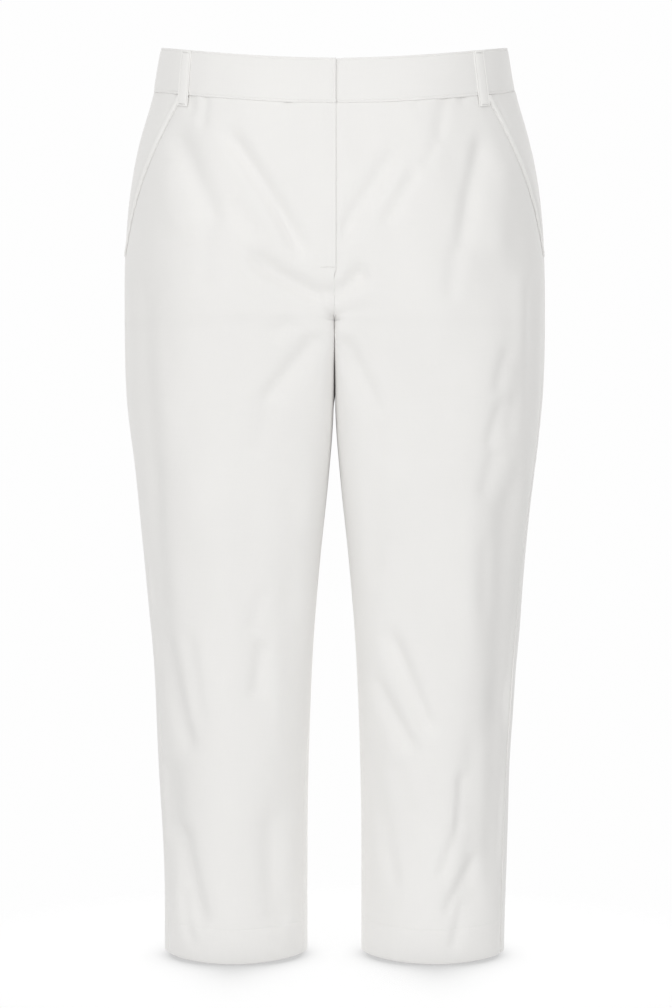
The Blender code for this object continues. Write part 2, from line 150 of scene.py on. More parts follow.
# The waistband's underlap and the gap over it, the rise of its right end, its crown and unevenness
BAND_UNDER = 30.0
BAND_LAP_GAP = 0.35
BAND_RISE = 0.7
BAND_CROWN = 0.5
BAND_CROWN_POWER = 0.8
BAND_RIPPLE = 0.45
BAND_RIPPLE_SCALE = 1.4

# The belt loops: in front by their distances from the centre plane, top and foot, behind by a share
# of the way round from the centre front
LOOP_WIDTH = 16.5
LOOP_LEVELS = (WAIST_TOP - 1, LOOP_END + 0.6)
LOOP_BOW = 0.15
LOOP_BOW_POWER = 0.7
LOOP_LIFT = 0.08
LOOP_CROWN = 0.25
FRONT_LOOP_X = {"left": (151.0, 157.5), "right": (155.5, 159.5)}
BACK_LOOP_SHARE = 0.745
CENTRE_BACK = "centre"

# The outline of one half at each level, as in the part's source. In front it keeps its own inner
# corner, the place where the inner side starts to round forward, and its own outer corner
SECTION_COLUMNS = ("level", "outer", "inner", "front", "back", "crest", "middle", "seam", "corner",
                   "front_corner", "front_inner", "front_outer")
SECTIONS = (
    (24, 188.0, 0, 136, 138, 28, 0, 8, 0.55, 0.55, 8, 0.6),
    (-24, 196.5, 0, 143, 146, 32, 2, 12, 0.55, 0.55, 8, 0.6),
    (-70, 209.5, 0, 149, 157, 34, 4, 17, 0.55, 0.55, 8, 0.6),
    (-120, 220.0, 0, 153, 167, 37, 6, 21, 0.55, 0.55, 8, 0.6),
    (-170, 226.3, 0, 154, 172, 42, 7, 24, 0.56, 0.57, 8, 0.6),
    (-220, 229.3, 0, 151, 171, 54, 8, 26, 0.6, 0.6, 8, 0.6),
    (-260, 229.5, 0, 144, 163, 76, 8, 27, 0.66, 0.76, -104, 0.6),
    (-289, 229.0, 0, 137, 154, 92, 8, 28, 0.7, 0.9, -126, 0.6),
    (-330, 227.6, 0.3, 127, 141, 103, 8, 28, 0.69, 0.82, -96, 0.6),
    (-381, 224.0, 1.4, 116, 128, 108, 8, 28, 0.65, 0.75, -70, 0.6),
    (-447, 217.0, 6.6, 104, 114, 110, 7, 28, 0.6, 0.7, -50, 0.58),
    (-534, 207.4, 15.6, 91, 101, 111, 6, 28, 0.56, 0.62, -34, 0.55),
    (-621, 199.4, 22.7, 82, 91, 111, 5, 27, 0.55, 0.55, -24, 0.51),
    (-709, 193.5, 26.7, 77, 84, 110, 4, 26, 0.55, 0.5, -16, 0.48),
    (-795, 189.0, 28.9, 73, 80, 109, 3, 25, 0.55, 0.47, -8, 0.46),
    (-883, 185.6, 29.4, 71, 77, 107.5, 3, 24, 0.55, 0.46, -6, 0.46),
    (-957, 184.5, 29.4, 70, 75, 107, 3, 24, 0.55, 0.46, -5, 0.47),
)
INSEAM_COLUMNS = ("level", "forward")
INSEAM = ((-289, 0), (-340, 9), (-410, 22), (-470, 27), (-957, 27))

# The turned edge of a seam, the hollow beside it and the allowance inside
ROLL_DEPTH = 0.75
BAND_ROLL_DEPTH = 0.22
BAND_SEAM_ROLL = 0.525
FRONT_ROLL_DEPTH = 0.4
ROLL_RADIUS = 1.3
HOLLOW_DEPTH = 0.3
HOLLOW_REACH = 4.5
ALLOWANCE = 9.4
ALLOWANCE_STEP = 0.6
ALLOWANCE_CLOTH = 1.1

# A free edge's rounding: the least share of the cloth's thickness, and its least reach
THINNEST = 0.04
LEAST_HALF = 0.1

# A side seam's puckers: the length, height and phase of each wave, and the length, mean strength and
# phase of their swell
PUCKER_DEPTH = 0.16
PUCKER_REACH = 8.0
PUCKER_START = 20.0
PUCKER_WAVES = ((3.4, 1.0, 1.3), (2.4, 0.8, 2.99), (5.7, 1.0, 0.0))
PUCKER_SWELL = (47.0, 0.55, 2.21)

# The stitching: pitches, lengths, and how far in from an edge it runs
STITCH_PITCH = 3.0
STITCH_LENGTH = 2.45
BAND_STITCH_IN = 2.4
BAND_STITCH_START = 3.0
HEM_STITCH_PITCH = 3.4
HEM_STITCH_LENGTH = 2.2
HEM_STITCH_IN = 0.6
LOOP_STITCH_PITCH = 2.6
LOOP_STITCH_LENGTH = 2.1
LOOP_STITCH_IN = 2.2
GROOVE_DEPTH = 0.42
HEM_GROOVE_DEPTH = 0.14
GROOVE_REACH = 0.75

# Where rows of stitches start and end, or how far short of a seam, and through how many places each
# is drawn
POCKET_STITCH_LEVELS = (BAND_SEAM - 2, POCKET_END + 4)
LOOP_STITCH_LEVELS = (WAIST_TOP - 2.6, LOOP_END + 2.2)
BAND_STITCH_SHORT = 1.0
CENTRE_STITCH_SHORT = 0.3
HEM_PLACES = 90
POCKET_PLACES = 70
BAND_PLACES = 120
BAND_END_PLACES = 24
LOOP_PLACES = 40

# Bar tacks: the fly's level, place, width and height, the others' widths and heights, and how far in
# from the pocket's mouth or from a loop's top and foot they lie
FLY_TACK = (-229.5, 6.8, 15.0, 1.0)
POCKET_TACK_LEVEL = POCKET_END + 5
POCKET_TACK_IN = 3.4
POCKET_TACK = (6.0, 2.4)
LOOP_TACK = (10.0, 1.7)
LOOP_TACK_IN = (3.4, 2.6)
HALF_LOOP_TACK = (4.6, 1.7)
HALF_LOOP_TACK_ASIDE = 2.6
# A pocket tack's slant, and for every tack its threads' pitch, how far up and down the two laid threads
# lie as a share of its height, and the rise of the others over them as a share of a thread's radius
TACK_SLANT = 0.3
TACK_PITCH = 0.62
TACK_EDGE = 0.3
TACK_RISE = 0.7

# A stitch: places along it, with the thread's radius and height there as shares of its full radius
STITCH_SHAPE = ((0.0, 0.45, -0.7), (0.13, 0.9, 0.15), (0.5, 1.0, 0.6), (0.87, 0.9, 0.15), (1.0, 0.45, -0.7))
THREAD_RADIUS = 0.19
THREAD_SIDES = 6

# An edge counts as sharp above this many degrees
CLOTH_SHARP = 55
THREAD_SHARP = 80

# A back panel's dart: its seam, the hollow beside it, and the pucker across and down round its tip
DART_LENGTH = 118.0
DART_DEPTH = 0.9
DART_REACH = 0.55
DART_TAPER = 0.6
DART_HOLLOW = 0.5
DART_HOLLOW_REACH = 5.0
DART_TIP = 0.7
DART_TIP_REACH = (9.0, 16.0)

# Rows or columns of a net beside a seam, an edge, a row of stitches or a dart, by how far off they lie
SEAM_FAN = np.array((0.0, 0.1, 0.35, 0.75, 1.3, 2.3, 5.0, ALLOWANCE, ALLOWANCE + ALLOWANCE_STEP))
EDGE_FAN = np.array((0.0, 0.03, 0.13, 0.3, 0.6, 1.1))
STITCH_FAN = np.array((-1.5, -0.8, -0.35, 0.0, 0.35, 0.8, 1.5))
BAND_FAN = np.concatenate([EDGE_FAN, BAND_STITCH_IN + STITCH_FAN[2:]])
HEM_FAN = np.array((1.9, 1.25, 0.8, 0.4, 0.13, 0.03, 0.0))
POCKET_EDGE_FAN = np.array((0, 0.05, 0.2, 0.45, 0.8, 1.4))
LOOP_FAN = np.array((0, 0.04, 0.15, 0.35, 0.65, 1.2))
LOOP_EDGE_FAN = np.array((0, 0.03, 0.13, 0.3, 0.6, 1.1, 1.6, LOOP_STITCH_IN, 2.4, 2.9, 4.2))
SHIELD_TOP_FAN = np.array((0.1, 1, 3))
SHIELD_END_FAN = np.array((1.0, 0.5, 0.2, 0.05, 0))
DART_FAN = np.array((-1.5, -0.7, -0.25, 0.0, 0.25, 0.7, 1.5))
# How far from a seam, an edge or a row of stitches the even rows and columns begin, and the width of
# facing at which the columns beside its seam have closed up
FAN_END = 13.0
DART_CLEAR = 1.0
TURN_CLEAR = (3.0, 4.0)
HEM_CLEAR = 2.5
BAND_CLEAR = 5.0
LOOP_CLEAR = 2.4
POCKET_EDGE_CLEAR = 4.0
FACING_CLEAR = 2.0
FACING_CLOSED = 3.0
SHIELD_CLEAR = (6.0, 3.0)
SHIELD_EDGE_CLEAR = 2.5
# The numbers of even columns
INNER_COLUMNS = 42
OUTER_COLUMNS = 36
FACING_COLUMNS = 26
POCKET_EDGE_COLUMNS = 11
SHIELD_COLUMNS = 18
BAND_FRONT_COLUMNS = 76
BAND_BACK_COLUMNS = 84
# Where a panel's inner columns meet its outer ones, between which levels the inner ones come to keep
# their places on the leg, and how close they may come to each other
CREST_LINE_X = 100.0
KEPT_FROM = -248.0
KEPT_ALL = CROTCH + 5
CLOSEST = 0.8
# How far apart the even rows are, and how far the close ones run on below the crotch
ROW_STEP = 4.2
CLOSE_ROW_STEP = 1.7
CLOSE_ROWS_RUN = 12.0
BAND_ROW_STEP = 2.8
LOOP_ROW_STEP = 1.7
POCKET_EDGE_ROW_STEP = 3.2
SHIELD_ROW_STEP = 6.0
CURVE_STEP_DEGREES = 1.7

# Folds, from a start to an end as seen from that side: how far the line between bends aside, the
# depth of the trough (a ridge where negative), its half width, the share of the way along at which it
# is deepest, and how much wider its one side is. A row may end before the last two
FOLD_COLUMNS = ("start_x", "start_z", "end_x", "end_z", "bend", "depth", "width", "peak", "skew")
FOLD_DEFAULTS = {"peak": 0.5, "skew": 0}
FRONT_FOLDS = (
    # The right hip and the line down to the fly
    (-120, -76, -24, -230, -4, 8.0, 10),
    (-98, -100, -56, -176, -3, -0.9, 11),
    (-112, -156, -76, -200, 0, 2.4, 10),
    (-170, -74, -118, -194, 0, 4.8, 12),
    (-184, -112, -160, -196, 0, -2.4, 14),
    (-134, -176, -132, -262, 0, 1.8, 11, 0.4),
    # Under the waistband
    (-151, -28, -149, -70, 0, 1.8, 6, 0.4),
    (-133, -40, -138, -86, 0, 2.0, 6),
    (-114, -22, -116, -52, 0, 1.2, 6, 0.3),
    (-84, -24, -82, -56, 0, 0.8, 7, 0.3),
    (-50, -22, -46, -76, 0, 1.8, 7),
    (-21, -20, -17, -64, 0, 1.3, 6, 0.4),
    (34, -20, 30, -50, 0, 0.8, 7, 0.3),
    (70, -22, 66, -56, 0, 1.0, 7, 0.3),
    (88, -30, 84, -70, 0, 1.0, 6),
    (118, -36, 106, -104, 0, 1.7, 7),
    (106, -98, 92, -128, 0, 1.5, 7),
    (131, -20, 134, -62, 0, 1.6, 6, 0.3),
    # The left hip
    (70, -100, 1, -208, 1, 4.8, 10, 0.6, -0.1),
    (88, -122, 48, -190, 0, 2.6, 9),
    (76, -126, 34, -194, 0, -1.2, 9),
    (158, -76, 128, -224, 1, 4.4, 9.5, 0.5, -0.2),
    (126, -204, 119, -270, 0, 2.2, 9, 0.4),
    (180, -100, 172, -222, 0, -2.6, 15),
    # Below the fly
    (-95, -210, -2, -264, 5, 9.4, 10.5, 0.6),
    (-10, -264, 36, -227, 3, 7.0, 9.5, 0.4),
    (-38, -284, -70, -300, 0, 2.4, 9),
    # From the top of the inside legs
    (-12, -294, -80, -378, 2, 5.6, 9.5, 0.35, -0.2),
    (-66, -368, -88, -430, 0, 1.8, 12, 0.4),
    (4, -296, 48, -384, -2, 4.8, 10, 0.4, 0.2),
    (38, -364, 52, -440, 0, 1.8, 12, 0.4),
    # The side of the left thigh
    (183, -306, 170, -362, 2, 2.6, 7, 0.4, -0.2),
    (180, -360, 162, -420, 2, 3.0, 7.5, 0.5, -0.2),
    (193, -348, 183, -404, 0, 1.8, 7),
    (173, -412, 157, -474, 2, 2.6, 9, 0.4, -0.2),
    (197, -420, 188, -480, 0, 1.6, 8),
    (196, -220, 195, -330, 0, -2.6, 9),
    (212, -230, 210, -400, 0, 3.0, 8),
    # Down the left leg's outer side
    (142, -440, 143, -690, 0, -2.2, 14),
    (149, -690, 145, -936, 0, 3.4, 13),
    (186, -430, 178, -740, 0, 6.0, 15, 0.45),
    (179, -640, 169, -900, 0, 4.8, 14),
    (160, -500, 160, -600, 0, 1.4, 8),
    (137, -752, 132, -826, 0, 3.2, 7, 0.5, -0.2),
    (138, -806, 108, -878, 0, 2.8, 7.5, 0.5, -0.2),
    (160, -842, 114, -916, 2, 3.6, 8, 0.5, -0.2),
    (140, -890, 124, -952, 0, 2.6, 7, 0.5, -0.2),
    # Across the left leg from the knee
    (52, -596, 106, -722, 0, 6.0, 10, 0.6, 0.1),
    (34, -648, 88, -742, 0, 4.8, 10, 0.55, 0.1),
    (24, -706, 66, -900, -2, 4.0, 10, 0.55, 0.1),
    (62, -742, 84, -812, 0, 1.2, 10),
    (42, -420, 40, -570, 0, 1.8, 12),
    # The right leg
    (-208, -216, -197, -430, 0, 5.6, 12),
    (-198, -390, -186, -616, 0, 5.8, 11),
    (-188, -590, -151, -746, 2, 5.4, 10, 0.55, 0.1),
    (-156, -600, -140, -716, 0, 1.8, 8),
    (-180, -742, -170, -842, 0, 4.2, 12, 0.5, 0.1),
    (-168, -806, -139, -932, 1, 6.6, 11.5, 0.5, 0.1),
    (-164, -880, -150, -948, 2, 2.2, 6),
    (-76, -616, -83, -684, 0, 3.8, 10, 0.5, -0.1),
    (-62, -600, -60, -720, 0, -1.4, 9),
    (-74, -560, -88, -612, 0, 1.8, 8),
    (-64, -780, -62, -936, 0, 4.8, 14, 0.6),
    (-36, -866, -60, -930, 0, 1.8, 9),
    (-46, -902, -66, -950, 0, 1.4, 7),
    (-46, -440, -44, -600, 0, 2.0, 13),
    (-118, -430, -112, -700, 0, -1.8, 26),
    (104, -420, 108, -640, 0, -1.8, 26),
)
BACK_FOLDS = (
    # Under the waistband
    (-146, -20, -143, -54, 0, 1.4, 5.5, 0.3),
    (-118, -20, -122, -48, 0, 1.1, 5, 0.3),
    (-62, -20, -58, -50, 0, 1.3, 6, 0.3),
    (-26, -20, -24, -44, 0, 1.0, 5, 0.3),
    (22, -20, 26, -48, 0, 1.3, 5.5, 0.3),
    (66, -20, 60, -52, 0, 1.1, 6, 0.3),
    (124, -20, 127, -50, 0, 1.4, 5, 0.3),
    (152, -20, 148, -46, 0, 1.1, 5, 0.3),
    # The hips and seat
    (-150, -88, -94, -208, 4, 4.5, 12, 0.5, 0.2),
    (-166, -120, -140, -214, 2, -1.3, 14),
    (146, -94, 98, -216, -4, 4.8, 12, 0.55, -0.2),
    (168, -130, 150, -226, 0, 2.6, 12),
    (-30, -238, -98, -278, 5, 4.8, 12, 0.4),
    (28, -242, 92, -286, -5, 4.8, 12, 0.4),
    (-44, -262, -118, -300, 5, -1.4, 12),
    (46, -264, 112, -306, -5, -1.4, 12),
    (-20, -292, -84, -330, 4, 3.2, 10, 0.4),
    (18, -296, 78, -338, -4, 2.9, 10, 0.4),
    # From the top of the inside legs
    (-12, -312, -100, -366, 6, 5.8, 12, 0.35, 0.2),
    (12, -318, 92, -376, -6, 5.1, 12, 0.35, -0.2),
    (-20, -352, -84, -412, 4, 2.9, 12, 0.4),
    (18, -362, 78, -420, -4, 2.7, 12, 0.4),
    # The thighs
    (-186, -346, -172, -566, 2, 4.2, 14, 0.45),
    (187, -356, 174, -596, -2, 4.0, 14, 0.45),
    (-150, -392, -120, -452, 2, 1.8, 11),
    (148, -402, 118, -470, -2, 1.9, 11),
    (-108, -430, -106, -560, 0, -2.6, 24),
    (106, -440, 104, -570, 0, -2.6, 24),
    # Behind the knees
    (-52, -548, -134, -606, 6, 4.2, 11, 0.45, 0.2),
    (50, -560, 128, -624, -6, 4.5, 11, 0.45, -0.2),
    (-62, -584, -140, -634, 5, -1.4, 10),
    (62, -598, 134, -652, -5, -1.4, 10),
    (-148, -624, -72, -684, -4, 3.5, 11),
    (152, -638, 80, -704, 4, 3.7, 11),
    (-60, -650, -116, -700, 4, 2.2, 9),
    (58, -664, 112, -722, -4, 2.2, 9),
    # The lower legs
    (-164, -740, -128, -888, 3, 3.7, 11),
    (156, -752, 122, -896, -3, 3.8, 11),
    (-54, -776, -74, -902, -2, 3.2, 11, 0.45),
    (58, -792, 77, -908, 2, 3.2, 11, 0.45),
    (-176, -620, -158, -724, 2, 2.4, 9),
    (172, -640, 156, -742, -2, 2.4, 9),
    (-96, -720, -110, -824, 0, 1.6, 12),
    (94, -736, 106, -838, 0, 1.6, 12),
    (-150, -862, -124, -946, 2, 1.9, 8),
    (144, -868, 118, -948, -2, 1.9, 8),
    (-48, -872, -62, -940, 0, 1.4, 7),
    (50, -880, 66, -942, 0, 1.4, 7),
)
# How soon a fold reaches its depth, and how far beside a seam and the inseam folds die out
FOLD_SHOULDER = 2.4
SEAM_FADE = 8.0
INSEAM_FADE = 7.0

# The cloth is calm where it faces the other leg by more than this share
INWARD = 0.45
INWARD_RUN = 0.4

# The cloth's own unevenness: waves of these lengths in all directions
RIPPLE_LENGTHS = (31, 38, 44, 53, 61, 72, 85, 98, 120, 150)
RIPPLE_HEIGHT = 0.0032
RIPPLE_DEEP = 0.8
RIPPLE_STEEP = 0.5
RIPPLE_SEED = 7

# Colours, from the photograph's lit surfaces, and their darkest and lightest shades
CLOTH_COLOUR = (0.868, 0.86, 0.845)
# The cloth's own colour made lighter: a painted highlight on the raised belt loops and pocket edges
LIT_TRIM_COLOUR = (0.91, 0.902, 0.885)
# The cloth's own colour made darker: painted shade on the fly shield, which lies hidden behind the fly
SHADED_INSIDE_COLOUR = (0.83, 0.822, 0.805)
THREAD_COLOUR = (0.88, 0.872, 0.856)
CLOTH_SHADES = (0.978, 1.012)
THREAD_SHADES = (0.965, 1.0)

# Weave and thread: directions, sizes in millimetres, shares in the pattern, reliefs in millimetres with
# their strength, and how dull they are
TWILL_WAY = (0.74, 0.67)
TWILL_PITCH = 0.62
TWILL_SHARE = 0.65
YARNS = (((1.0, 0.0), 0.44), ((0.0, 1.0), 0.484))
FUZZ_SIZE = (0.5, 0.5, 0.5)
FUZZ_SHARE = 1.2
CLOTH_DETAIL = 3.0
WEAVE_RELIEF = (0.035, 0.5)
SLUB_SIZES = ((0.9, 26.0, 1.0), (34.0, 0.9, 1.0))
SLUB_SHARE = 0.5
CLOUD_SIZE = (46.0, 46.0, 70.0)
TONE_RANGE = (0.55, 1.45)
CRUMPLE_SIZE = (6.0, 6.0, 6.0)
CRUMPLE_RELIEF = (0.05, 0.6)
PLY_SIZE = (0.35, 0.35, 0.35)
PLY_DETAIL = 1.0
PLY_RELIEF = (0.04, 0.5)
CLOTH_ROUGHNESS = 0.76
FUZZ_ROUGHNESS = 0.1
CLOTH_SHEEN = {"Specular IOR Level": 0.3, "Sheen Weight": 0.08, "Sheen Roughness": 0.5}
THREAD_SHEEN = {"Roughness": 0.55, "Sheen Weight": 0.1}

# Camera, floor and light: places and sizes in metres, with powers, colours and shares
CAMERA_PLACE = (0.0017, -2.6, -0.473)
CAMERA_LENS = 85.2
CAMERA_SENSOR = 36.0
FLOOR_DROP = 0.0012
FLOOR_RADIUS = 0.52
FLOOR_SIDES = 96
FLOOR_FADE = (0.32, 0.5)
FLOOR_PAINT = 0.25
FLOOR_GLOW = 0.8
FLOOR_COVER = 0.45
HEM_PLACE = (0.107, 0.0025)
HEM_REACH = (0.071, 0.0735)
SHADOW_STRETCH = 5.2
SHADOW_DEPTH = 0.96
SHADOW_RUN = 0.0102
BACKDROP_LIGHT = 0.99
WORLD_COLOUR = (1.0, 0.999, 0.994)
WORLD_LIGHT = 0.56
WORLD_LOBES = (((0, -1, 0), 0.18), ((0, 1, 0), 0.05), ((-1, 0, 0), -0.18), ((1, 0, 0), -0.3),
               ((0, 0, 1), 0.35), ((0, 0, -1), 0.5))
LIGHT_COLUMNS = ("name", "place", "aim", "size", "power")
LIGHTS = (
    ("overhead", (0.0, -0.9, 2.3), (0.0, 0.0, -0.4), 1.6, 2.2),
    ("key", (-1.7, -2.6, 0.6), (0.0, 0.0, -0.45), 1.2, 17.0),
    ("fill", (1.9, -2.3, 0.2), (0.0, 0.0, -0.5), 1.2, 11.7),
    ("behind_left", (-1.6, 2.2, 0.0), (0.0, 0.0, -0.45), 1.5, 13.0),
    ("behind_right", (1.6, 2.2, 0.0), (0.0, 0.0, -0.45), 1.5, 20.0),
)


def smooth(share):
    """Eases a share from 0 to 1."""
    t = np.clip(share, 0.0, 1.0)
    return t * t * (3 - 2 * t)


def hump(away, reach):
    """A soft hump of height 1 that dies out beyond this reach."""
    return np.exp(-((away / reach) ** 2))


def distances_along(points):
    """How far along a line each of its points lies."""
    return np.concatenate([[0], np.cumsum(np.linalg.norm(np.diff(points, axis=0), axis=1))])


def eased(table, column):
    """A function that reads one column of a table at any level, on a curve through its rows."""
    levels = np.array([-row[0] for row in table], float)
    values = np.array([row[column] for row in table], float)
    slopes = np.gradient(values, levels)

    def at(level):
        here = min(max(-level, levels[0]), levels[-1])
        i = int(min(max(np.searchsorted(levels, here) - 1, 0), len(levels) - 2))
        span = levels[i + 1] - levels[i]
        t = (here - levels[i]) / span
        a, b = values[i], values[i + 1]
        ta, tb = slopes[i] * span, slopes[i + 1] * span
        return a + t * (ta + t * (3 * (b - a) - 2 * ta - tb + t * (2 * (a - b) + ta + tb)))

    return at


def curves(columns, table):
    """A function for each named column of a table, which reads it at any level."""
    return {name: eased(table, i) for i, name in enumerate(columns)}


SECTION_AT = curves(SECTION_COLUMNS, SECTIONS)
INSEAM_AT = curves(INSEAM_COLUMNS, INSEAM)["forward"]


def bezier(a, handle_a, handle_b, b, steps=ARC_STEPS):
    """Points along one cubic curve, without its last point."""
    t = np.arange(steps)[:, None] / steps
    ends = (1 - t) ** 3 * a + t**3 * b
    return ends + 3 * (1 - t) ** 2 * t * handle_a + 3 * (1 - t) * t**2 * handle_b


def cut_curve(curve, y):
    """The handles of a quarter arc's last part, from where it reaches y."""
    path = bezier(*curve)
    steps = np.arange(ARC_STEPS) / ARC_STEPS
    first = curve[0][1]
    t = float(np.interp(abs(y - first), np.abs(path[:, 1] - first), steps))
    bc, cd = (curve[i] + (curve[i + 1] - curve[i]) * t for i in (1, 2))
    return [np.array([0.0, y]), bc + (cd - bc) * t, cd, curve[3]]


class Outline:
    """One half's outline at a level, from the centre front or inseam round to the centre back."""

    def __init__(self, level):
        row = {name: at(level) for name, at in SECTION_AT.items()}
        self.level = level
        self.closed = level <= CROTCH
        self.outer, self.front, self.back = row["outer"], row["front"], row["back"]
        wall, front = self.centre_arc(row, -row["front"], row["front_corner"], row["front_inner"],
                                      FRONT_CURVE_START, FRONT_CURVE_POWER)
        back = self.centre_arc(row, row["back"], row["corner"], row["middle"],
                               BACK_CURVE_START, BACK_CURVE_POWER)[1]
        side = np.array([row["outer"], row["middle"]])
        reach = row["outer"] - row["crest"]
        front_reach = row["front"] + row["middle"]
        back_reach = row["back"] - row["middle"]
        self.points = np.concatenate([
            wall + (front[0] - wall) * np.arange(WALL_STEPS)[:, None] / WALL_STEPS,
            bezier(*front),
            bezier(front[3], front[3] + [row["front_outer"] * reach, 0],
                   side - [0, ROUND * front_reach], side),
            bezier(side, side + [0, ROUND * back_reach], back[3] + [ROUND * reach, 0], back[3]),
            bezier(*back[::-1]),
            back[0][None],
        ])
        self.run = distances_along(self.points)
        self.length = self.run[-1]
        self.side_seam = self.run[SIDE_POINT] - row["seam"]
        self.inseam = INSEAM_AT(level) if self.closed else 0.0

    def centre_arc(self, row, depth, corner, inner_y, begins, power):
        """Where the outline leaves the centre or inner side, and the handles of its arc to the crest."""
        crest = np.array([row["crest"], depth])
        inward = np.array([corner * (row["crest"] - row["inner"]), 0])
        if self.closed:
            inner = np.array([row["inner"], inner_y])
            leg = [inner, inner + [0, corner * (depth - inner_y)], crest - inward, crest]
            return np.array([row["inner"], row["middle"]]), leg
        share = min(max((begins - self.level) / (begins - CROTCH), 0.0), 1.0)
        centre = np.array([0.0, CROTCH_Y + (depth - CROTCH_Y) * math.sqrt(1 - share**power)])
        inner = np.array([0.0, inner_y if depth < 0 else CROTCH_Y])
        leg = [inner, inner + [0, corner * (depth - inner[1])], crest - inward, crest]
        start = centre if abs(centre[1] - CROTCH_Y) > abs(inner[1] - CROTCH_Y) else inner
        flat = [start, start + [FLAT_ROUND * row["crest"], 0], crest - inward, crest]
        weight = float(smooth(share / CURVE_BLEND))
        rounded = cut_curve(leg, start[1])
        return centre, [a * (1 - weight) + b * weight for a, b in zip(flat, rounded)]

    def at(self, distance):
        """Points at distances along the outline. Before the centre front they are the other half's."""
        distance = np.asarray(distance, float)
        mirrored = (distance < 0) & (not self.closed)
        along = np.where(mirrored, -distance, distance)
        if self.closed:
            along = np.mod(along, self.length)
        x = np.interp(along, self.run, self.points[:, 0])
        y = np.interp(along, self.run, self.points[:, 1])
        return np.where(mirrored, -x, x), y

    def front_at(self, x):
        """The distance along the front at which the outline reaches x."""
        last = SIDE_POINT + 1
        return float(np.interp(x, self.points[:last, 0], self.run[:last]))

    def back_at(self, x):
        """The distance at which the outline reaches x on its way back to the centre."""
        last = SIDE_POINT - 1
        return float(np.interp(x, self.points[:last:-1, 0], self.run[:last:-1]))


@functools.lru_cache(maxsize=None)
def outline(level):
    return Outline(level)


def base_points(level, distance):
    """Points of the left half's smooth surface."""
    here = outline(level)
    x, y = here.at(distance)
    facing = np.where(y < 0, -y / here.front, -y / here.back)
    lean = smooth((level - LEAN_ENDS) / (BAND_SEAM - LEAN_ENDS))
    dip = smooth((HEM_DIP_STARTS - level) / (HEM_DIP_STARTS - HEM))
    point = WAIST_POINT * np.abs(x) / here.outer * np.maximum(facing, 0) ** 2
    z = level - lean * (WAIST_LEAN * facing + WAIST_CURVE * facing**2 - point)
    z = z - dip * HEM_DIP / 2 * (facing + facing**2)
    return np.stack([x + HALF_GAP, y, z], axis=-1)


def pressed_aside(points):
    """How far sideways the inner faces of both legs lie where they press together."""
    x, y, z = (points[..., k] for k in range(3))
    starts, full, fades, ends = PRESS_LEVELS
    tall = smooth((starts - z) / (starts - full)) * smooth((z - ends) / (fades - ends))
    return PRESS_BEND * tall * hump(y - PRESS_Y, PRESS_RUN) * hump(x, PRESS_REACH)


class Net:
    """Rows of points on one half's smooth surface, with the directions out of the cloth."""

    def __init__(self, side, levels, row_at):
        """Row_at gives the places round the outline at a level, from the first to the last."""
        self.side = side
        self.sign = 1 if side == "left" else -1
        self.levels = np.array(levels, float)
        self.level = self.levels[:, None]
        self.distance = np.array([row_at(level) for level in levels], float)
        self.from_first = self.distance - self.distance[:, :1]
        self.from_last = self.distance[:, -1:] - self.distance
        points = np.array([base_points(level, row) for level, row in zip(self.levels, self.distance)])
        normals = np.cross(np.gradient(points, axis=1), -np.gradient(points, axis=0))
        normals /= np.linalg.norm(normals, axis=-1)[..., None]
        self.points = points * [self.sign, 1, 1]
        self.normals = normals * [self.sign, 1, 1]
        # Where each point lies on the flat cloth, in metres
        down = np.broadcast_to(self.level, self.distance.shape)
        self.coordinates = np.stack([self.distance * self.sign, down], axis=-1) * METRES
        self.outer = self.inner = None

    def raise_to(self, outer, inner, apart_from=-math.inf):
        """Sets the cloth's outer and inner faces at these distances out from the smooth surface.

        Below the level apart_from, no point crosses the plane between the halves.
        """
        aside = pressed_aside(self.points)
        faces = []
        for lift in (outer, inner):
            face = self.points + self.normals * lift[..., None]
            x = self.sign * face[..., 0]
            x = np.where(self.level < apart_from, np.maximum(x, SEAM_GAP), x)
            face[..., 0] = self.sign * x + aside
            faces.append(face)
        self.outer, self.inner = faces
        return self

    def on(self, level, distance):
        """Points of the outer face, and the directions out of it, at one level."""
        distance = np.asarray(distance, float)
        i = int(np.clip(np.searchsorted(-self.levels, -level) - 1, 0, len(self.levels) - 2))
        share = (self.levels[i] - level) / (self.levels[i] - self.levels[i + 1])
        mixed = []
        for grid in (self.outer, self.normals):
            above, below = (
                np.stack([np.interp(distance, self.distance[row], grid[row, :, k]) for k in range(3)], -1)
                for row in (i, i + 1)
            )
            mixed.append(above * (1 - share) + below * share)
        return mixed


def fold_depth(net, folds):
    """How far the cloth is pushed in at each place, seen from the front or the back."""
    x, z = net.points[..., 0], net.points[..., 2]
    depth = np.zeros_like(x)
    for fold in folds:
        row = FOLD_DEFAULTS | dict(zip(FOLD_COLUMNS, fold))
        run_x, run_z = row["end_x"] - row["start_x"], row["end_z"] - row["start_z"]
        length = math.hypot(run_x, run_z)
        dx, dz = x - row["start_x"], z - row["start_z"]
        share = (dx * run_x + dz * run_z) / length**2
        inside = np.clip(share, 0, 1)
        aside = (dx * run_z - dz * run_x) / length - row["bend"] * 4 * inside * (1 - inside)
        beyond = (share - inside) * length
        width = row["width"] * (1 + row["skew"] * np.tanh(aside / row["width"]))
        rise, fall = inside / row["peak"], (1 - inside) / (1 - row["peak"])
        taper = smooth(FOLD_SHOULDER * np.minimum(rise, fall))
        depth += row["depth"] * taper * hump(aside, width) * hump(beyond, row["width"])
    return depth


def on_inner_wall(net):
    """1 where the cloth faces the other leg, and 0 where it faces forward, back or outward."""
    inward = -net.sign * net.normals[..., 0]
    return smooth((inward - INWARD) / INWARD_RUN) * (net.level < FLY_END)


def inseam_fade(net, away):
    """Folds die out beside the inseam."""
    return np.where(net.level > CROTCH, 1.0, smooth(away / INSEAM_FADE))


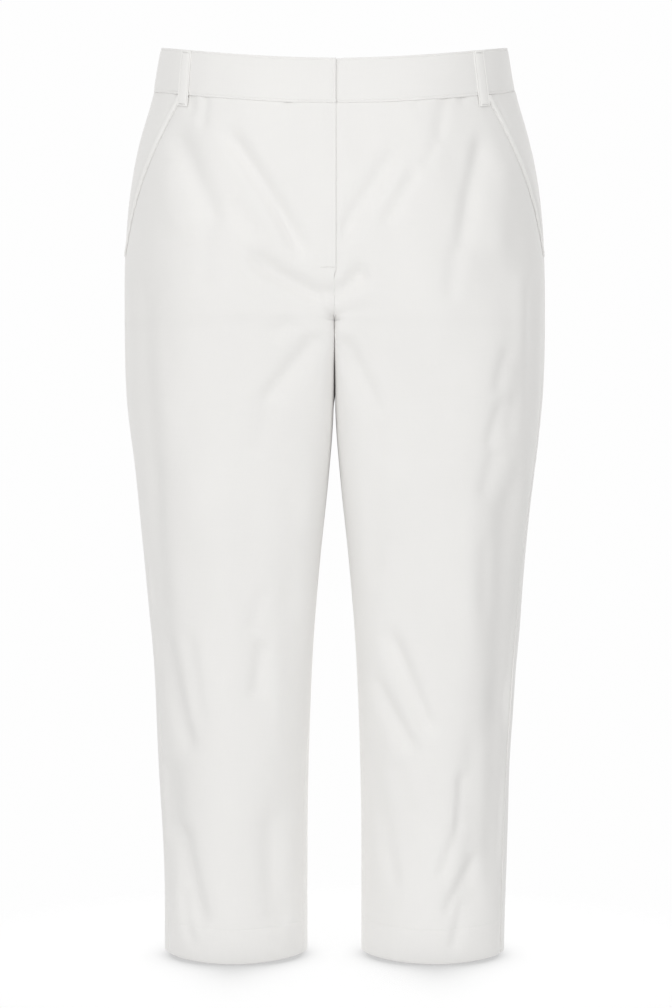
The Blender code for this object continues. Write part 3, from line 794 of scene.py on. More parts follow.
def ripple(points):
    """Low uneven waves that run on over every seam."""
    draw = np.random.default_rng(RIPPLE_SEED)
    height = np.zeros(points.shape[:-1])
    for length in RIPPLE_LENGTHS:
        turn, phase = draw.uniform(0, math.pi), draw.uniform(0, 2 * math.pi)
        steep = draw.uniform(-RIPPLE_STEEP, RIPPLE_STEEP)
        way = np.array([math.cos(turn), math.sin(turn) * RIPPLE_DEEP, steep]) * 2 * math.pi / length
        height += RIPPLE_HEIGHT * length * np.sin(points @ way + phase)
    return height


def pucker(away, level):
    """Small uneven waves across the side seam below the pocket, which die out beside it."""
    waves = sum(height * np.sin(level / length + phase) for length, height, phase in PUCKER_WAVES)
    length, mean, phase = PUCKER_SWELL
    strength = mean + (1 - mean) * np.sin(level / length + phase)
    below = smooth((POCKET_END - level) / PUCKER_START)
    return PUCKER_DEPTH * strength * waves * np.exp(-away / PUCKER_REACH) * below


def seam_roll(away, depth=ROLL_DEPTH):
    """How far a seam's turned edge sinks below the cloth beside it."""
    share = np.clip(away / ROLL_RADIUS, 0, 1)
    rolled = depth * (1 - np.sqrt(1 - (1 - share) ** 2))
    return -rolled - HOLLOW_DEPTH * depth / ROLL_DEPTH * hump(away, HOLLOW_REACH)


def allowance(away):
    """The thickness that a seam's allowance adds inside."""
    return ALLOWANCE_CLOTH * (1 - smooth((away - ALLOWANCE) / ALLOWANCE_STEP))


def groove(away, depth=GROOVE_DEPTH):
    """The furrow that a row of stitches pulls into the cloth."""
    return -depth * hump(away, GROOVE_REACH)


def round_edge(outer, inner, away, weight=1.0):
    """Rounds the wall over a free edge, where its two faces meet halfway."""
    middle, half = (outer + inner) / 2, (outer - inner) / 2
    share = np.clip(away / np.maximum(half, LEAST_HALF), 0, 1)
    arch = np.maximum(np.sqrt(1 - (1 - share) ** 2), THINNEST)
    arch = 1 + (arch - 1) * weight
    return middle + half * arch, middle - half * arch


def pocket_mouth(level):
    """The distance round the outline to the pocket's slanted mouth."""
    here, lowest = outline(level), outline(POCKET_END)
    share = (BAND_SEAM - level) / (BAND_SEAM - POCKET_END)
    end_x = float(lowest.at(lowest.side_seam)[0])
    x = POCKET_TOP_X + (end_x - POCKET_TOP_X) * share + POCKET_BOW * 4 * share * (1 - share)
    return min(here.front_at(x), here.side_seam - SEAM_GAP)


def front_edge(level):
    """The distance to the front panel's outer edge: the pocket mouth, then the side seam."""
    if level > POCKET_END:
        return pocket_mouth(level)
    return outline(level).side_seam - SEAM_GAP


def above_fly_end(level):
    """1 beside the fly, fading out just below it."""
    return smooth((level - FLY_FADE_END) / FLY_FADE_RUN)


def front_start(side, level):
    """The distance to the front panel's inner edge: the fly, the crotch seam, then the inseam."""
    if outline(level).closed:
        return outline(level).inseam + SEAM_GAP
    lap = FLY_OVER if side == "right" else FLY_UNDER
    return -lap * float(smooth((level - FLY_END) / FLY_LAP_RUN + 1))


def fly_lift(net):
    """The right front stands proud at the fly, and the left front dips under it."""
    lift, start, run = FLY_LIFT[net.side]
    return lift * above_fly_end(net.level) * (1 - smooth((net.distance - start) / run))


def fly_fade(level, distance):
    """Folds die out beside the fly, where one front lies flat on the other."""
    return 1 - above_fly_end(level) * (1 - smooth((distance - FLY_FLAT) / FLY_FLAT_RUN))


def spread(start, end, step):
    """Places from a start to an end about a step apart, without the end."""
    return list(np.linspace(start, end, max(1, round(abs(end - start) / step)), endpoint=False))


def panel_levels(curve_start):
    """Rows of a panel: close together at its top seam, round the crotch curve and at its hem."""
    turns = np.radians(np.arange(0, 90, CURVE_STEP_DEGREES))
    top, below_crotch = BAND_SEAM - SEAM_GAP, CROTCH - CLOSE_ROWS_RUN
    rows = list(top - SEAM_FAN)
    rows += spread(top - FAN_END, curve_start, ROW_STEP)
    rows += list(curve_start + (CROTCH - curve_start) * np.sin(turns))
    rows += spread(CROTCH, below_crotch, CLOSE_ROW_STEP)
    rows += spread(below_crotch, HEM_TURN + TURN_CLEAR[0], ROW_STEP)
    rows += list(HEM_TURN - STITCH_FAN)
    rows += spread(HEM_TURN - TURN_CLEAR[1], HEM + HEM_CLEAR, ROW_STEP)
    return rows + list(HEM + HEM_FAN)


def inner_columns(level, span, leg_span):
    """Columns between the centre or inseam and the crest line, as distances from the first.

    Near the crotch they keep their places on the leg, and only the first ones close up.
    """
    even = np.linspace(FAN_END, span, INNER_COLUMNS)
    if level <= CROTCH:
        return even
    step = np.arange(INNER_COLUMNS)
    kept = span - (leg_span - FAN_END) * (1 - step / (INNER_COLUMNS - 1))
    kept = np.maximum(kept, FAN_END + CLOSEST * step)
    weight = smooth((KEPT_FROM - level) / (KEPT_FROM - KEPT_ALL))
    return even * (1 - weight) + kept * weight


def hem_and_band(net, outer, inner):
    """Finishes a panel's top, where it meets the waistband, and its hem."""
    from_band, above_turn = BAND_SEAM - net.level, net.level - HEM_TURN
    outer = outer + seam_roll(from_band, BAND_ROLL_DEPTH) + groove(above_turn, HEM_GROOVE_DEPTH)
    layer = HEM_LAYER * smooth((HEM_LAYER_TOP - above_turn) / HEM_LAYER_STEP)
    return round_edge(outer, inner - allowance(from_band) - layer, net.level - HEM)


def make_front_net(side):
    """A front panel, from the fly, crotch seam and inseam to the pocket mouth and side seam."""
    leg_span = outline(CROTCH).front_at(CREST_LINE_X)

    def row_at(level):
        first, last = front_start(side, level), front_edge(level)
        crest = outline(level).front_at(CREST_LINE_X)
        inside = first + inner_columns(level, crest - first, leg_span)
        outside = np.linspace(crest, last - FAN_END, OUTER_COLUMNS)[1:]
        return np.concatenate([first + SEAM_FAN, inside, outside, last - SEAM_FAN[::-1]])

    net = Net(side, panel_levels(FRONT_CURVE_START), row_at)
    at_fly, at_pocket = above_fly_end(net.level), (net.level > POCKET_END) * 1.0
    lift = front_lift(net, net.from_first, net.from_last)
    outer, inner = lift, lift - CLOTH
    edges = ((net.from_first, FRONT_ROLL_DEPTH, at_fly), (net.from_last, ROLL_DEPTH, at_pocket))
    for away, depth, free in edges:
        outer = outer + seam_roll(away, depth) * (1 - free)
        inner = inner - allowance(away) * (1 - free)
    for away, depth, free in edges:
        outer, inner = round_edge(outer, inner, away, free)
    return net.raise_to(*hem_and_band(net, outer, inner), apart_from=FLY_FADE_END)


def front_lift(net, from_first, from_last):
    """The relief of a front panel: its laps, folds, waves and puckers."""
    at_pocket = net.level > POCKET_END
    folds = fold_depth(net, FRONT_FOLDS) * inseam_fade(net, from_first)
    calm = fly_fade(net.level, net.distance) * (1 - on_inner_wall(net))
    calm = calm * smooth((from_last - POCKET_UNDER * at_pocket) / SEAM_FADE)
    beside_edge = hump(from_last - POCKET_EDGE - POCKET_HOLLOW_AWAY, POCKET_HOLLOW_REACH) * at_pocket
    lift = fly_lift(net) + (ripple(net.points) - folds) * calm
    return lift - POCKET_HOLLOW * beside_edge + pucker(from_last, net.level)


def make_back_net(side):
    """A back panel, from the side seam to the crotch seam and inseam, with a dart at its middle."""
    beside_dart = DART_FAN[-1] + DART_CLEAR
    leg = outline(CROTCH)
    leg_span = leg.length - leg.back_at(CREST_LINE_X) - beside_dart

    def row_at(level):
        here = outline(level)
        first = here.side_seam + SEAM_GAP
        last = here.length + here.inseam - SEAM_GAP if here.closed else here.length
        crest = here.back_at(CREST_LINE_X)
        outside = np.linspace(first + FAN_END, crest - beside_dart, OUTER_COLUMNS)
        inside = last - inner_columns(level, last - crest - beside_dart, leg_span)[::-1]
        return np.concatenate([first + SEAM_FAN, outside, crest + DART_FAN, inside, last - SEAM_FAN[::-1]])

    net = Net(side, panel_levels(BACK_CURVE_START), row_at)
    dart = len(SEAM_FAN) + OUTER_COLUMNS + len(DART_FAN) // 2
    folds = fold_depth(net, BACK_FOLDS) * smooth(net.from_first / SEAM_FADE) * inseam_fade(net, net.from_last)
    lift = (ripple(net.points) - folds) * (1 - on_inner_wall(net)) + pucker(net.from_first, net.level)
    lift = lift + dart_relief(net.level, net.distance - net.distance[:, dart:dart + 1])
    outer = lift + seam_roll(net.from_first) + seam_roll(net.from_last)
    inner = lift - CLOTH - allowance(net.from_first) - allowance(net.from_last)
    return net.raise_to(*hem_and_band(net, outer, inner), apart_from=BAND_SEAM)


def dart_relief(level, away):
    """A dart's seam, which runs out to a point with a small pucker round it."""
    left = 1 - np.clip((BAND_SEAM - level) / DART_LENGTH, 0, 1)
    seam = DART_DEPTH * left**DART_TAPER * hump(away, DART_REACH)
    hollow = DART_HOLLOW * left * hump(away, DART_HOLLOW_REACH)
    tip_across, tip_down = DART_TIP_REACH
    tip = DART_TIP * hump(away, tip_across) * hump(level - BAND_SEAM + DART_LENGTH, tip_down)
    return -seam - hollow - tip


def make_facing_net(side):
    """The hip piece behind a pocket's mouth, sunk under the front panel and level at the side seam."""
    def row_at(level):
        first, last = pocket_mouth(level) - POCKET_UNDER, outline(level).side_seam - SEAM_GAP
        # The allowance's columns close up where the facing narrows towards the mouth's end
        reach = min(1.0, (last - first - FACING_CLOSED) / (2 * FAN_END))
        middle = np.linspace(first + FACING_CLEAR, last - FAN_END * reach, FACING_COLUMNS)
        return np.concatenate([first + EDGE_FAN, middle, last - SEAM_FAN[::-1] * reach])

    top = BAND_SEAM - SEAM_GAP
    net = Net(side, list(top - SEAM_FAN) + spread(top - FAN_END, POCKET_END, ROW_STEP), row_at)
    raised = smooth((net.from_first - POCKET_UNDER - POCKET_SINK_FROM) / POCKET_SINK_RUN)
    lift = ripple(net.points) * raised - POCKET_SINK * (1 - raised)
    rolled = seam_roll(net.from_last) + seam_roll(BAND_SEAM - net.level, BAND_ROLL_DEPTH)
    return net.raise_to(*round_edge(lift + rolled * raised, lift - CLOTH, net.from_first))


def make_pocket_edge_net(side):
    """The turned and stitched edge of a pocket's mouth, which lies on the front panel."""
    top, bottom = POCKET_EDGE_LEVELS
    middle = spread(top - POCKET_EDGE_CLEAR, bottom + POCKET_EDGE_CLEAR, POCKET_EDGE_ROW_STEP)
    levels = list(top - POCKET_EDGE_FAN) + middle + list(bottom + POCKET_EDGE_FAN[::-1])
    even = np.linspace(0, POCKET_EDGE, POCKET_EDGE_COLUMNS)
    across = np.unique(np.round(np.concatenate([
        EDGE_FAN, POCKET_STITCH_IN + STITCH_FAN, even, POCKET_EDGE - EDGE_FAN]), 3))
    across = across[(across >= 0) & (across <= POCKET_EDGE)]
    net = Net(side, levels, lambda level: pocket_mouth(level) - POCKET_EDGE + across)
    base = front_lift(net, net.distance, net.from_last) + POCKET_EDGE_LIFT
    from_stitches = net.from_first - POCKET_STITCH_IN
    ridge = np.clip(from_stitches / (POCKET_EDGE - POCKET_STITCH_IN), 0, 1)
    crown = POCKET_EDGE_CROWN * np.sin(math.pi * ridge)
    outer = base + POCKET_EDGE_CLOTH + crown + groove(from_stitches)
    outer, inner = round_edge(outer, base, np.minimum(net.from_first, net.from_last))
    return net.raise_to(*round_edge(outer, inner, np.minimum(top - net.level, net.level - bottom)))


def make_shield_net():
    """The shield behind the fly, sewn to the left front."""
    start, end = BAND_SEAM - SHIELD_CLEAR[0], FLY_SHIELD_END + SHIELD_CLEAR[1]
    levels = list(BAND_SEAM - SHIELD_TOP_FAN) + spread(start, end, SHIELD_ROW_STEP)
    levels += list(FLY_SHIELD_END + SHIELD_END_FAN)
    first, last = -FLY_SHIELD_OVER, FLY_SHIELD_LEFT
    middle = np.linspace(first + SHIELD_EDGE_CLEAR, last - SHIELD_EDGE_CLEAR, SHIELD_COLUMNS)
    across = np.concatenate([first + EDGE_FAN, middle, last - EDGE_FAN[::-1]])
    net = Net("left", levels, lambda level: across)
    folds = fold_depth(net, FRONT_FOLDS) * fly_fade(net.level, np.abs(net.distance))
    outer = -FLY_SHIELD_DEPTH - folds
    outer, inner = round_edge(outer, outer - CLOTH, np.minimum(net.from_first, net.from_last))
    return net.raise_to(*round_edge(outer, inner, net.level - FLY_SHIELD_END))


def band_levels():
    """Rows of the waistband: close together at its edges and its two rows of stitches."""
    low = BAND_SEAM + SEAM_GAP
    last = low + BAND_CLEAR
    middle = spread(WAIST_TOP - BAND_CLEAR, last, BAND_ROW_STEP)
    return list(WAIST_TOP - BAND_FAN) + middle + [last] + list(low + BAND_FAN[::-1])


def band_wall(net, lift):
    """The faces of a stretch of waistband: crowned, furrowed by its stitches and rounded over."""
    from_top, from_seam = WAIST_TOP - net.level, net.level - BAND_SEAM - SEAM_GAP
    arch = np.sin(math.pi * np.clip(from_seam / (WAIST_TOP - BAND_SEAM), 0, 1))
    uneven = ripple(net.points * BAND_RIPPLE_SCALE) * BAND_RIPPLE * arch
    outer = lift + BAND_CROWN * arch**BAND_CROWN_POWER + uneven
    outer = outer + groove(from_top - BAND_STITCH_IN) + groove(from_seam - BAND_STITCH_IN)
    inner = lift - BAND_CLOTH + np.zeros_like(outer)
    outer, inner = round_edge(outer, inner, from_top)
    return round_edge(outer, inner, from_seam)


def band_lift(side, distance):
    """The right end of the front waistband stands proud, and the left end dips under it."""
    if side == "right":
        return BAND_PROUD + BAND_RISE * (1 - smooth(distance / FLY_RISE_RUN))
    under = band_lift("right", -distance) - BAND_CLOTH - BAND_CROWN - BAND_LAP_GAP
    beyond = smooth((distance - FLY_SINK_FROM) / FLY_SINK_RUN)
    return under * (1 - beyond) + BAND_PROUD * beyond


def make_band_front_net(side):
    """One side of the front waistband, whose right end lies over the left one."""
    first = -FLY_OVER if side == "right" else -BAND_UNDER

    def row_at(level):
        last = outline(level).side_seam - SEAM_GAP
        middle = np.linspace(first + BAND_CLEAR, last - FAN_END, BAND_FRONT_COLUMNS)
        return np.concatenate([first + BAND_FAN, middle, last - SEAM_FAN[::-1]])

    net = Net(side, band_levels(), row_at)
    outer, inner = band_wall(net, band_lift(side, net.distance))
    if side == "right":
        outer = outer + groove(net.from_first - BAND_STITCH_IN)
    outer, inner = round_edge(outer, inner, net.from_first)
    return net.raise_to(outer + seam_roll(net.from_last, BAND_SEAM_ROLL), inner)


def make_band_back_net(side):
    """Half of the back waistband, which is one piece from side seam to side seam."""
    def row_at(level):
        here = outline(level)
        first = here.side_seam + SEAM_GAP
        middle = np.linspace(first + FAN_END, here.length, BAND_BACK_COLUMNS)
        return np.concatenate([first + SEAM_FAN, middle])

    net = Net(side, band_levels(), row_at)
    outer, inner = band_wall(net, BAND_PROUD)
    return net.raise_to(outer + seam_roll(net.from_first, BAND_SEAM_ROLL), inner)


def loop_levels():
    """Rows of a belt loop from the waist's top edge to just below the band."""
    top, bottom = LOOP_LEVELS
    middle = spread(top - LOOP_CLEAR, bottom + LOOP_CLEAR, LOOP_ROW_STEP)
    return list(top - LOOP_FAN) + middle + list(bottom + LOOP_FAN[::-1])


def loop_lift(level):
    """The loop stands off the band in the middle and lies down at both ends."""
    share = np.clip((level - LOOP_END) / (WAIST_TOP - LOOP_END), 0, 1)
    return BAND_PROUD + LOOP_LIFT + LOOP_BOW * np.sin(math.pi * share) ** LOOP_BOW_POWER


def loop_centre(place, side, level):
    """The distance round the outline to the middle of a belt loop."""
    here = outline(level)
    if place == CENTRE_BACK:
        return here.length
    if place == "back":
        return here.length * BACK_LOOP_SHARE
    top, foot = FRONT_LOOP_X[side]
    share = (WAIST_TOP - level) / (WAIST_TOP - LOOP_END)
    return here.front_at(top + (foot - top) * share)


def make_loop_net(side, place):
    """A belt loop: a narrow folded strip, stitched along both edges and tacked at both ends."""
    half = LOOP_WIDTH / 2
    across = np.concatenate([LOOP_EDGE_FAN - half, [0], half - LOOP_EDGE_FAN[::-1]])
    if place == CENTRE_BACK:
        across = across[:len(LOOP_EDGE_FAN) + 1]
    net = Net(side, loop_levels(), lambda level: loop_centre(place, side, level) + across)
    away = half - np.abs(across)[None, :]
    inner = loop_lift(net.level) + 0 * away
    crown = LOOP_CROWN * np.cos(math.pi / 2 * across / half)
    outer = inner + LOOP_CLOTH + crown + groove(away - LOOP_STITCH_IN)
    outer, inner = round_edge(outer, inner, away)
    from_end = np.minimum(net.levels[0] - net.level, net.level - net.levels[-1])
    return net.raise_to(*round_edge(outer, inner, from_end))


# A piece of cloth: the points of both its faces, and where they lie on the flat cloth
Cloth = collections.namedtuple("Cloth", ("outer", "inner", "coordinates"))


def joined(left, right):
    """One piece of cloth from the nets of two halves that meet at the centre back."""
    beyond = right.coordinates + [2 * outline(0.0).length * METRES, 0]
    grids = []
    for one, other in ((left.outer, right.outer), (left.inner, right.inner), (left.coordinates, beyond)):
        centre = (one[:, -1:] + other[:, -1:]) / 2
        grids.append(np.concatenate([one[:, :-1], centre, other[:, -2::-1]], axis=1))
    return Cloth(*grids)


def make_object(name, points, faces, material, coordinates=None, sharp_degrees=CLOTH_SHARP):
    """A smooth mesh of points in millimetres, with their places on the flat cloth if it has any."""
    mesh = bpy.data.meshes.new(name)
    mesh.from_pydata((points * METRES).tolist(), [], faces.tolist())
    if coordinates is not None:
        layer = mesh.uv_layers.new(name="cloth")
        layer.data.foreach_set("uv", coordinates[faces.reshape(-1)].astype(np.float32).ravel())
    mesh.materials.append(material)
    mesh.shade_smooth()
    mesh.set_sharp_from_angle(angle=math.radians(sharp_degrees))
    obj = bpy.data.objects.new(name, mesh)
    bpy.context.scene.collection.objects.link(obj)
    return obj


def shell(name, cloth, material):
    """A closed wall between the outer and inner faces of a piece of cloth."""
    rows, columns = cloth.outer.shape[:2]
    index = np.arange(rows * columns).reshape(rows, columns)
    quads = np.stack([index[:-1, :-1], index[1:, :-1], index[1:, 1:], index[:-1, 1:]], -1).reshape(-1, 4)
    rim = np.concatenate([index[0], index[1:, -1], index[-1, -2::-1], index[-2:0:-1, 0]])
    beyond, count = np.roll(rim, -1), rows * columns
    sides = np.stack([rim, beyond, beyond + count, rim + count], -1)
    faces = np.concatenate([quads, quads[:, ::-1] + count, sides])
    points = np.concatenate([cloth.outer.reshape(-1, 3), cloth.inner.reshape(-1, 3)])
    a, b, c, d = (points[faces[:, k]] for k in range(4))
    if np.sum(a * (np.cross(b, c) + np.cross(c, d))) < 0:
        faces = faces[:, ::-1]
    flat = cloth.coordinates.reshape(-1, 2)
    return make_object(name, points, faces, material, np.concatenate([flat, flat]))


class Stitching:
    """The stitches on one piece, gathered and then made as one mesh."""

    def __init__(self):
        self.starts, self.ends, self.outs = [], [], []

    def add(self, starts, ends, outs):
        """Adds stitches between starts and ends, with the directions out of the cloth there."""
        self.starts.append(starts)
        self.ends.append(ends)
        self.outs.append(outs)

    def row(self, points, outs, pitch=STITCH_PITCH, length=STITCH_LENGTH):
        """Stitches at an even pitch along a line on the cloth."""
        run = distances_along(points)
        count = int((run[-1] - length) / pitch)
        if count < 1:
            return
        begin = (run[-1] - count * pitch) / 2 + np.arange(count) * pitch

        def along(grid, where):
            return np.stack([np.interp(where, run, grid[:, k]) for k in range(3)], -1)

        self.add(along(points, begin), along(points, begin + length), along(outs, begin + length / 2))

    def line(self, net, levels, distance_at, **options):
        """A row of stitches down a net, at a distance round the outline that each level gives."""
        points, outs = zip(*(net.on(level, [distance_at(level)]) for level in levels))
        self.row(np.concatenate(points), np.concatenate(outs), **options)

    def tack(self, net, level, distance, width, height, slant=0.0):
        """A bar tack: close threads side by side, with two more laid along under them."""
        for edge in (-TACK_EDGE, TACK_EDGE):
            points, outs = net.on(level + edge * height, distance + np.array([-width / 2, 0, width / 2]))
            self.add(points[:-1], points[1:], outs[:-1])
        steps = np.arange(-width / 2, width / 2 + 0.01, TACK_PITCH)
        lower = [net.on(level + slant * s - height / 2, [distance + s]) for s in steps]
        upper = [net.on(level + slant * s + height / 2, [distance + s + TACK_PITCH / 2]) for s in steps]
        starts, ends = (np.concatenate([place[0] for place in places]) for places in (lower, upper))
        outs = np.concatenate([place[1] for place in lower])
        raised = outs * THREAD_RADIUS * TACK_RISE
        self.add(starts + raised, ends + raised, outs)

    def make(self, name, material):
        """Each stitch is a thread with six sides, and two quads close each of its ends."""
        starts, ends, outs = (np.concatenate(part) for part in (self.starts, self.ends, self.outs))
        way = ends - starts
        across = np.cross(way, outs)
        across /= np.linalg.norm(across, axis=1)[:, None]
        up = np.cross(across, way)
        up /= np.linalg.norm(up, axis=1)[:, None]
        ring = np.arange(THREAD_SIDES)
        rings = []
        for share, radius, height in STITCH_SHAPE:
            centre = starts + way * share + up * THREAD_RADIUS * height
            for turn in ring * 2 * math.pi / THREAD_SIDES:
                offset = across * math.cos(turn) + up * math.sin(turn)
                rings.append(centre + offset * THREAD_RADIUS * radius)
        points = np.stack(rings, axis=1)
        count, per_stitch = points.shape[:2]
        last = per_stitch - THREAD_SIDES
        sides = np.stack([ring, np.roll(ring, -1), np.roll(ring, -1) + THREAD_SIDES, ring + THREAD_SIDES], -1)
        faces = [sides + step for step in range(0, last, THREAD_SIDES)]
        faces += [np.array([[3, 2, 1, 0], [5, 4, 3, 0]]), last + np.array([[0, 1, 2, 3], [0, 3, 4, 5]])]
        faces = np.concatenate(faces) + np.arange(count)[:, None, None] * per_stitch
        return make_object(name, points.reshape(-1, 3), faces.reshape(-1, 4), material,
                           sharp_degrees=THREAD_SHARP)


class Nodes:
    """Builds the nodes of a material or the world, one short call each."""

    def __init__(self, tree):
        self.tree = tree

    def fill(self, node, inputs):
        """Sets a node's inputs to values, or links them to other nodes' outputs."""
        for key, value in inputs.items():
            if isinstance(value, bpy.types.NodeSocket):
                self.tree.links.new(value, node.inputs[key])
            else:
                node.inputs[key].default_value = value

    def node(self, kind, inputs=None, **settings):
        made = self.tree.nodes.new(kind)
        for key, value in settings.items():
            setattr(made, key, value)
        self.fill(made, inputs or {})
        return made

    def maths(self, operation, a, b=0.0, c=0.0):
        return self.node("ShaderNodeMath", {0: a, 1: b, 2: c}, operation=operation).outputs[0]

    def vector(self, operation, a, b=(0.0, 0.0, 0.0)):
        """A vector from two others, or for a dot product or a length a number."""
        made = self.node("ShaderNodeVectorMath", {0: a, 1: b}, operation=operation)
        return made.outputs["Value" if operation in ("DOT_PRODUCT", "LENGTH") else "Vector"]


class Shader(Nodes):
    """A material, with the patterns that cloth and thread are made of."""

    def __init__(self, name):
        self.material = bpy.data.materials.new(name)
        self.material.use_nodes = True
        super().__init__(self.material.node_tree)
        self.surface = self.tree.nodes["Principled BSDF"]

    def wave(self, coordinates, way, pitch):
        """A sine wave along a direction on the flat cloth, with its pitch in millimetres."""
        step = tuple(part * 2 * math.pi / (pitch * METRES) for part in way) + (0.0,)
        return self.maths("SINE", self.vector("DOT_PRODUCT", coordinates, step))

    def noise(self, coordinates, size, detail=2.0):
        """Noise with its size along each axis in millimetres."""
        scaled = self.vector("MULTIPLY", coordinates, tuple(1 / (part * METRES) for part in size))
        noise = self.node("ShaderNodeTexNoise", {"Vector": scaled, "Scale": 1.0, "Detail": detail})
        return noise.outputs["Fac"]

    def tint(self, share, colour, dark, light):
        """A colour between two shades of one, given as shares of it."""
        shades = {key: tuple(min(1.0, part * level) for part in colour) + (1.0,)
                  for key, level in (("A", dark), ("B", light))}
        return self.node("ShaderNodeMix", {"Factor": share, **shades}, data_type="RGBA").outputs["Result"]

    def bump(self, height, relief, strength, **below):
        """The directions out of a surface with this relief, in millimetres, over one below it."""
        return self.node("ShaderNodeBump", {
            "Height": height, "Distance": relief * METRES, "Strength": strength, **below}).outputs[0]


def cloth_material(name, colour):
    """Fine cotton twill: woven relief, faint slubs, cloudy tone and a soft crumple."""
    shader = Shader(name)
    cloth = shader.node("ShaderNodeUVMap", uv_map="cloth").outputs["UV"]
    place = shader.node("ShaderNodeTexCoord").outputs["Object"]
    warp, weft = (shader.wave(cloth, way, pitch) for way, pitch in YARNS)
    twill = shader.maths("MULTIPLY", shader.wave(cloth, TWILL_WAY, TWILL_PITCH), TWILL_SHARE)
    fuzz = shader.noise(cloth, FUZZ_SIZE, CLOTH_DETAIL)
    weave = shader.maths("MULTIPLY_ADD", shader.maths("MULTIPLY", warp, weft), 1 - TWILL_SHARE, twill)
    weave = shader.maths("MULTIPLY_ADD", fuzz, FUZZ_SHARE, weave)
    slubs = shader.maths("ADD", *(shader.noise(cloth, size) for size in SLUB_SIZES))
    clouds = shader.noise(place, CLOUD_SIZE, CLOTH_DETAIL)
    tone = shader.maths("MULTIPLY_ADD", slubs, SLUB_SHARE, clouds)
    span = shader.node("ShaderNodeMapRange", {
        "Value": tone, "From Min": TONE_RANGE[0], "From Max": TONE_RANGE[1]}).outputs[0]
    crumple = shader.bump(shader.noise(place, CRUMPLE_SIZE, CLOTH_DETAIL), *CRUMPLE_RELIEF)
    shader.fill(shader.surface, {
        "Base Color": shader.tint(span, colour, *CLOTH_SHADES),
        "Roughness": shader.maths("MULTIPLY_ADD", fuzz, FUZZ_ROUGHNESS, CLOTH_ROUGHNESS),
        "Normal": shader.bump(weave, *WEAVE_RELIEF, Normal=crumple),
        **CLOTH_SHEEN})
    return shader.material


def thread_material():
    """Spun thread, a little glossier than the cloth."""
    shader = Shader("thread")
    place = shader.node("ShaderNodeTexCoord").outputs["Object"]
    plies = shader.noise(place, PLY_SIZE, PLY_DETAIL)
    shader.fill(shader.surface, {
        "Base Color": shader.tint(plies, THREAD_COLOUR, *THREAD_SHADES),
        "Normal": shader.bump(plies, *PLY_RELIEF),
        **THREAD_SHEEN})
    return shader.material


def cut_size(grid):
    """The width, length and area of a net of cloth laid flat, in metres."""
    across = np.linalg.norm(np.diff(grid, axis=1), axis=-1).sum(axis=1).max()
    down = np.linalg.norm(np.diff(grid, axis=0), axis=-1).sum(axis=0).max()
    first = np.cross(grid[1:, :-1] - grid[:-1, :-1], grid[1:, 1:] - grid[:-1, :-1])
    second = np.cross(grid[1:, 1:] - grid[:-1, :-1], grid[:-1, 1:] - grid[:-1, :-1])
    area = (np.linalg.norm(first, axis=-1).sum() + np.linalg.norm(second, axis=-1).sum()) / 2
    return across * METRES, down * METRES, area * METRES**2


def make_piece(node, cloth, colour, stitching=None):
    """Makes a node's fine cloth, with its stitches, named after the node, whose own part it hides."""
    piece = shell(f"{node}_cloth", cloth, cloth_material(node, colour))
    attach(piece, "root")
    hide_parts(node)
    if stitching is None:
        return [piece]
    thread = stitching.make(f"{node}_stitches", THREAD)
    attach(thread, "root")
    return [piece, thread]


def dress(node, cloth, colour, stitching=None, trim=()):
    piece, *sewn = make_piece(node, cloth, colour, stitching)
    width, length, area = cut_size(cloth.outer)


def hem_stitches(net):
    """The row of stitches that holds a panel's hem."""
    stitching = Stitching()
    first, last = net.distance[int(np.argmin(np.abs(net.levels - HEM_TURN))), [0, -1]]
    places = np.linspace(first + HEM_STITCH_IN, last - HEM_STITCH_IN, HEM_PLACES)
    stitching.row(*net.on(HEM_TURN, places), pitch=HEM_STITCH_PITCH, length=HEM_STITCH_LENGTH)
    return stitching


def dress_pocket_edge(side):
    """The turned edge of a pocket's mouth, which belongs to the front panel under it."""
    net, sewn = make_pocket_edge_net(side), Stitching()
    inset = POCKET_EDGE - POCKET_STITCH_IN
    levels = np.linspace(*POCKET_STITCH_LEVELS, POCKET_PLACES)
    sewn.line(net, levels, lambda level: pocket_mouth(level) - inset)
    place = pocket_mouth(POCKET_TACK_LEVEL) - POCKET_TACK_IN
    sewn.tack(net, POCKET_TACK_LEVEL, place, *POCKET_TACK, slant=TACK_SLANT)
    # The pocket edge takes the cloth's colour lightened as a painted highlight
    return make_piece(f"pocket_edge_{side}", net, LIT_TRIM_COLOUR, sewn)


def dress_panels(side):
    """A leg's front with its pocket edge and fly tack, its back, and the hip piece in the pocket."""
    front = make_front_net(side)
    sewn = hem_stitches(front)
    if side == "right":
        sewn.tack(front, *FLY_TACK)
    dress(f"front_{side}", front, CLOTH_COLOUR, sewn, trim=dress_pocket_edge(side))
    back = make_back_net(side)
    dress(f"back_{side}", back, CLOTH_COLOUR, hem_stitches(back))
    dress(f"pocket_facing_{side}", make_facing_net(side), CLOTH_COLOUR)


